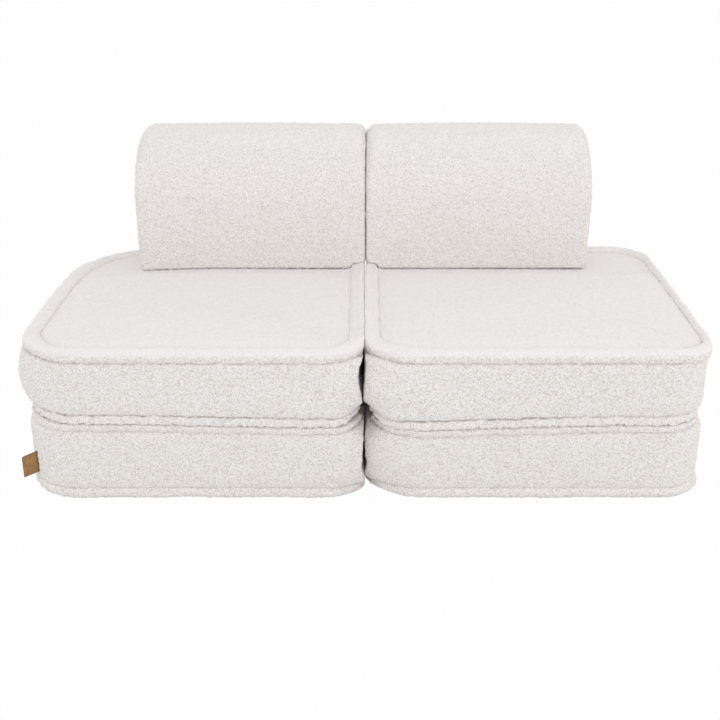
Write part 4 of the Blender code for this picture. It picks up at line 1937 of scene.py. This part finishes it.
@dataclass
class Zip:
    """A coil zip on its tape, with the slider at its shut end.

    Attributes:
        name: the module that it closes.
        wardrobe: the finishes.
        pitch: the distance between two turns of the coil.
        turn: the half sizes of one turn along the zip, across its face and up.
        tape_gap: the gap between the two strips of tape.
        coil_end: how far the coil ends before the tape does.
        coil_rise: how far its turns' centres stand off the tape.
        coil_offset: how far those of each half lie from the middle.
        bridge_rise: how far the slider's bridge stands off its body.
    """

    name: str
    wardrobe: Wardrobe
    pitch: float = 0.0016
    turn: tuple[float, float, float] = (0.00062, 0.0008, 0.0019)
    tape_gap: float = 0.0009
    coil_end: float = 0.002
    coil_rise: float = 0.0004
    coil_offset: float = 0.0007
    bridge_rise: float = 0.0016

    def tape(self) -> None:
        """Two woven strips that meet under the coil, with the coil on them."""
        low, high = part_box(self.name + "_zip_tape")
        face_y = high.y - 0.0015
        bm = bmesh.new()
        for sign in (-1, 1):
            width = (high.z - low.z) / 2 - self.tape_gap / 2
            centre = (low.z + high.z) / 2 + sign * (width + self.tape_gap) / 2
            size = Matrix.Diagonal((high.x - low.x, 0.0012, width, 1.0))
            place = Matrix.Translation(((low.x + high.x) / 2, face_y - 0.0006, centre)) @ size
            bmesh.ops.create_cube(bm, size=1.0, matrix=place)
        bmesh.ops.bevel(bm, geom=list(bm.edges), offset=0.0004, segments=2, profile=0.5,
                        affect="EDGES", material=-1)
        strips = len(bm.faces)
        count = int((high.x - low.x - 2 * self.coil_end) / self.pitch)
        for row in (-1, 1):
            size = Matrix.Diagonal((*self.turn, 1.0))
            start_x = low.x + self.coil_end + (row + 1) * self.pitch / 4
            start = (start_x, face_y + self.coil_rise, (low.z + high.z) / 2 + row * self.coil_offset)
            made = bmesh.ops.create_uvsphere(
                bm, u_segments=6, v_segments=5, radius=1.0, matrix=Matrix.Translation(start) @ size)
            verts = made["verts"]
            edges = {e for v in verts for e in v.link_edges}
            faces = {f for v in verts for f in v.link_faces}
            bmesh.ops.spin(bm, geom=verts + list(edges) + list(faces), cent=(0, 0, 0), axis=(0, 0, 1),
                           dvec=(self.pitch, 0, 0), angle=0.0, steps=count, use_duplicate=True)
        bm.faces.ensure_lookup_table()
        for face in bm.faces[strips:]:
            face.material_index = 1
        obj = to_object(bm, self.name + "_zip_tape_and_coil")
        Piece(obj, self.name, (self.name + "_zip_tape",), "zip_tape").dress(self.wardrobe.tape)
        obj.data.materials.append(self.wardrobe.coil)

    def slider(self) -> None:
        """The slider's body with its bridge."""
        low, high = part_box(self.name + "_zip_slider")
        size, centre = high - low, (low + high) / 2
        bm = bmesh.new()
        block = Matrix.Diagonal((size.x, size.y - self.bridge_rise, size.z, 1.0))
        place = Matrix.Translation(centre - Vector((0, self.bridge_rise / 2, 0))) @ block
        bmesh.ops.create_cube(bm, size=1.0, matrix=place)
        nose = [v for v in bm.verts if v.co.x > centre.x]
        bmesh.ops.scale(bm, verts=nose, vec=(1, 1, 0.62), space=Matrix.Translation(-centre))
        bmesh.ops.bevel(bm, geom=list(bm.edges), offset=0.0009, segments=3, profile=0.5,
                        affect="EDGES", material=-1)
        ring = bmesh.ops.create_circle(
            bm, cap_ends=True, radius=0.0007, segments=10,
            matrix=Matrix.Translation((centre.x - 0.0032, high.y - 0.0018, centre.z)))
        edges = list({e for v in ring["verts"] for e in v.link_edges})
        faces = list({f for v in ring["verts"] for f in v.link_faces})
        bmesh.ops.spin(bm, geom=ring["verts"] + edges + faces, cent=(centre.x, high.y - 0.0030, centre.z),
                       axis=(0, 0, -1), angle=math.pi, steps=12, use_duplicate=False)
        obj = to_object(bm, self.name + "_zip_slider_body")
        points = read_points(obj.data)
        points[:, 1] = np.minimum(points[:, 1], high.y)
        write_points(obj.data, points)
        piece = Piece(obj, self.name + "_slider", (self.name + "_zip_slider",), "slider_metal")
        piece.dress(self.wardrobe.metal)

    def build(self) -> None:
        """Make the zip."""
        self.tape()
        self.slider()


@dataclass
class LeatherTag:
    """A bare leather strip folded on itself and sewn into the left base cushion's side.

    Attributes:
        wardrobe: the finishes.
        thickness: of one layer.
        droop: how far the free end hangs below the sewn one.
        fold: half the gap between the two layers.
        corner: the radius of its free corners.
        wave: how far it sways sideways.
        root: where the darker band at the sewn end begins and where it is whole, as shares of its length.
        columns: the mesh steps along it.
        rows: the mesh steps up it.
    """

    wardrobe: Wardrobe
    thickness: float = 0.0013
    droop: float = 0.0145
    fold: float = 0.00075
    corner: float = 0.0035
    wave: float = 0.0012
    root: Point = (0.16, 0.12)
    columns: int = 16
    rows: int = 26

    def build(self) -> None:
        """Fold the strip, round its free corners and dress it."""
        low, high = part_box("leather_tag")
        reach, height = high.x - low.x, high.z - low.z - self.droop
        mid_y = (low.y + high.y) / 2
        bm = bmesh.new()
        root = bm.verts.new((high.x, mid_y - self.fold, high.z - height))
        run = reach - self.fold - self.thickness / 2
        fold_x = low.x + self.fold + self.thickness / 2
        step = {"cent": (fold_x, mid_y, 0), "axis": (0, 0, 1), "use_duplicate": False}
        straight = {"angle": 0.0, "steps": self.columns} | step
        last = bmesh.ops.spin(bm, geom=[root], dvec=(-run / self.columns, 0, 0), **straight)["geom_last"]
        last = bmesh.ops.spin(bm, geom=last, angle=-math.pi, steps=8, **step)["geom_last"]
        bmesh.ops.spin(bm, geom=last, dvec=(run / self.columns, 0, 0), **straight)
        bmesh.ops.spin(bm, geom=list(bm.verts) + list(bm.edges), cent=(0, 0, 0), axis=(0, 0, 1),
                       dvec=(0, 0, height / self.rows), angle=0.0, steps=self.rows, use_duplicate=False)
        bmesh.ops.recalc_face_normals(bm, faces=bm.faces)
        bmesh.ops.solidify(bm, geom=list(bm.faces), thickness=self.thickness)
        obj = to_object(bm, "leather_tag_folded")
        points = read_points(obj.data)
        out = (high.x - points[:, 0]) / reach
        up = (points[:, 2] - (high.z - height)) / height
        past = np.maximum(self.corner - (points[:, 0] - low.x), 0)
        arc = self.corner - np.sqrt(np.maximum(self.corner ** 2 - past ** 2, 0))
        points[:, 2] += arc * (1 - 2 * np.clip(up, 0, 1))
        points[:, 2] -= self.droop * out
        points[:, 1] += self.wave * np.sin(out * 2.6) * (0.4 + 0.6 * up)
        write_points(obj.data, points)
        rim = np.minimum(up, 1 - up) * height
        # Darker at the cut edges, at the sewn end and at the fold.
        root = smooth_step(out + WAVES["tag_root"].at(points), *self.root)
        worn = np.maximum(smooth_step(rim, 0.0022, 0.0004), root)
        worn = np.maximum(worn, 0.6 * smooth_step(out, 0.95, 1.0))
        write_values(obj.data, "edge", worn)
        Piece(obj, "left_base", ("leather_tag",), "tag_leather").dress(self.wardrobe.leather)


# Studio


@dataclass
class Studio:
    """A pale floor, a white surround, soft lamps and the camera.

    Attributes:
        lens: the camera's focal length in millimetres.
        camera_place: where it stands.
        pitch: how far it looks down.
        shift: how far the picture is shifted, as a share of its width.
        sky: how strongly the surround lights the object.
        glow: how much of the floor's seen brightness is its own, so that its shadow stays faint.
    """

    lens: float = 56.42
    camera_place: tuple[float, float, float] = (0.0055, -2.058, 1.0077)
    pitch: float = math.radians(23.04)
    shift: float = -0.00625
    sky: float = 0.897
    glow: float = 0.95

    def camera(self) -> None:
        """Stand the camera where the photograph was taken from."""
        data = bpy.data.cameras.new("camera")
        data.lens = self.lens
        data.sensor_width = 36.0
        data.shift_x = self.shift
        camera = bpy.data.objects.new("camera", data)
        camera.location = self.camera_place
        camera.rotation_euler = (math.pi / 2 - self.pitch, 0.0, 0.0)
        bpy.context.scene.collection.objects.link(camera)
        bpy.context.scene.camera = camera

    def seen(self, graph: Graph) -> Wire:
        """1 for rays from the camera, a mirror or a lens, and 0 for light on the object."""
        kinds = ("Camera", "Glossy", "Transmission")
        rays = [graph.node("ShaderNodeLightPath", output=f"Is {kind} Ray") for kind in kinds]
        return rays[0].math("MAXIMUM", rays[1]).math("MAXIMUM", rays[2])

    def surround(self) -> None:
        """A white world that lights the object a little less than it shows."""
        world = bpy.data.worlds.new("surround")
        world.use_nodes = True
        bpy.context.scene.world = world
        graph = Graph(world.node_tree)
        seen = self.seen(graph)
        strength = seen + (1 - seen) * self.sky
        sockets = {"Color": (1.0, 1.0, 1.0, 1.0), "Strength": strength}
        light = graph.node("ShaderNodeBackground", {}, sockets)
        graph.node("ShaderNodeOutputWorld", {}, {"Surface": light})

    def floor(self) -> None:
        """A white floor that keeps the object's shadow."""
        bm = bmesh.new()
        bmesh.ops.create_grid(bm, x_segments=4, y_segments=4, size=9.0)
        obj = to_object(bm, "studio_floor")
        material = bpy.data.materials.new("floor_white")
        material.use_nodes = True
        graph = Graph(material.node_tree)
        cloud = graph.noise(graph.node("ShaderNodeTexCoord", output="Object"), 0.6, 1.0)
        color = graph.mix(cloud, (0.82, 0.82, 0.82), (0.84, 0.84, 0.84))
        paint = graph.node("ShaderNodeBsdfDiffuse", {}, {"Color": color})
        glow = graph.node("ShaderNodeEmission", {}, {"Color": (1.0, 1.0, 1.0, 1.0), "Strength": 1.0})
        share = self.seen(graph) * self.glow
        mixed = graph.node("ShaderNodeMixShader", {}, {0: share, 1: paint, 2: glow})
        graph.node("ShaderNodeOutputMaterial", {}, {"Surface": mixed})
        obj.data.materials.append(material)

    def lamp(self, name: str, place: tuple, aim: tuple, size: float, power: float, color: Color) -> None:
        """A square soft lamp.

        Args:
            name: its name.
            place: where it hangs.
            aim: the point that it faces.
            size: the length of its side.
            power: its power in watts.
            color: its colour.
        """
        data = bpy.data.lights.new(name, "AREA")
        data.shape = "SQUARE"
        data.size = size
        data.energy = power
        data.color = color
        lamp = bpy.data.objects.new(name, data)
        lamp.location = place
        lamp.rotation_euler = (Vector(aim) - Vector(place)).to_track_quat("-Z", "Y").to_euler()
        bpy.context.scene.collection.objects.link(lamp)

    def build(self) -> None:
        """Set up the studio."""
        self.camera()
        self.surround()
        self.floor()
        for name, place, power in (
                ("front_lamp", (0.0, -3.2, 1.9), 21.0), ("left_lamp", (-2.8, -0.6, 1.0), 5.0),
                ("right_lamp", (2.8, -0.6, 1.0), 11.0)):
            self.lamp(name, place, (0.0, 0.0, 0.2), 2.2, power, (0.97, 0.985, 1.0))
        bpy.context.scene.view_settings.view_transform = "Standard"


# What sets one cushion apart from another, as the fields of FlatCushion say
BULGES = {"left_seat": 0.014, "right_seat": -0.003, "right_base": -0.003}
SLUMPS = {"left_seat": 0.007}
DIPS = {Side.LEFT: (0.001, 0.008), Side.RIGHT: (0.003, 0.013)}
CORNERS = {
    "left_base": (0.095, 0.070, 0.095, 0.110),
    "right_base": (0.105, 0.072, 0.095, 0.095),
    "left_seat": (0.112, 0.078, 0.090, 0.165),
    "right_seat": (0.090, 0.078, 0.085, 0.090),
}


def main() -> None:
    """Build the studio and the sofa, module by module."""
    Studio().build()
    wardrobe = Wardrobe()
    cushions = {}
    for side in Side:
        for level in Level:
            name = f"{side.value}_{level.value}"
            cushions[name] = FlatCushion(
                side, level, wardrobe, CORNERS[name], BULGES.get(name, 0.0), dips=DIPS[side],
                slump=SLUMPS.get(name, 0.0))
    modules = [
        *cushions.values(),
        BackBlock(Side.LEFT, wardrobe, cushions["left_seat"], (-0.4595, BACK_GAP), (0.030, 0.018)),
        BackBlock(Side.RIGHT, wardrobe, cushions["right_seat"], (BACK_GAP, 0.455), (0.026, 0.024))]
    settle_cloth([module.hang() for module in modules])
    for module in modules:
        module.build()
    LeatherTag(wardrobe).build()


if __name__ == "__main__":
    main()
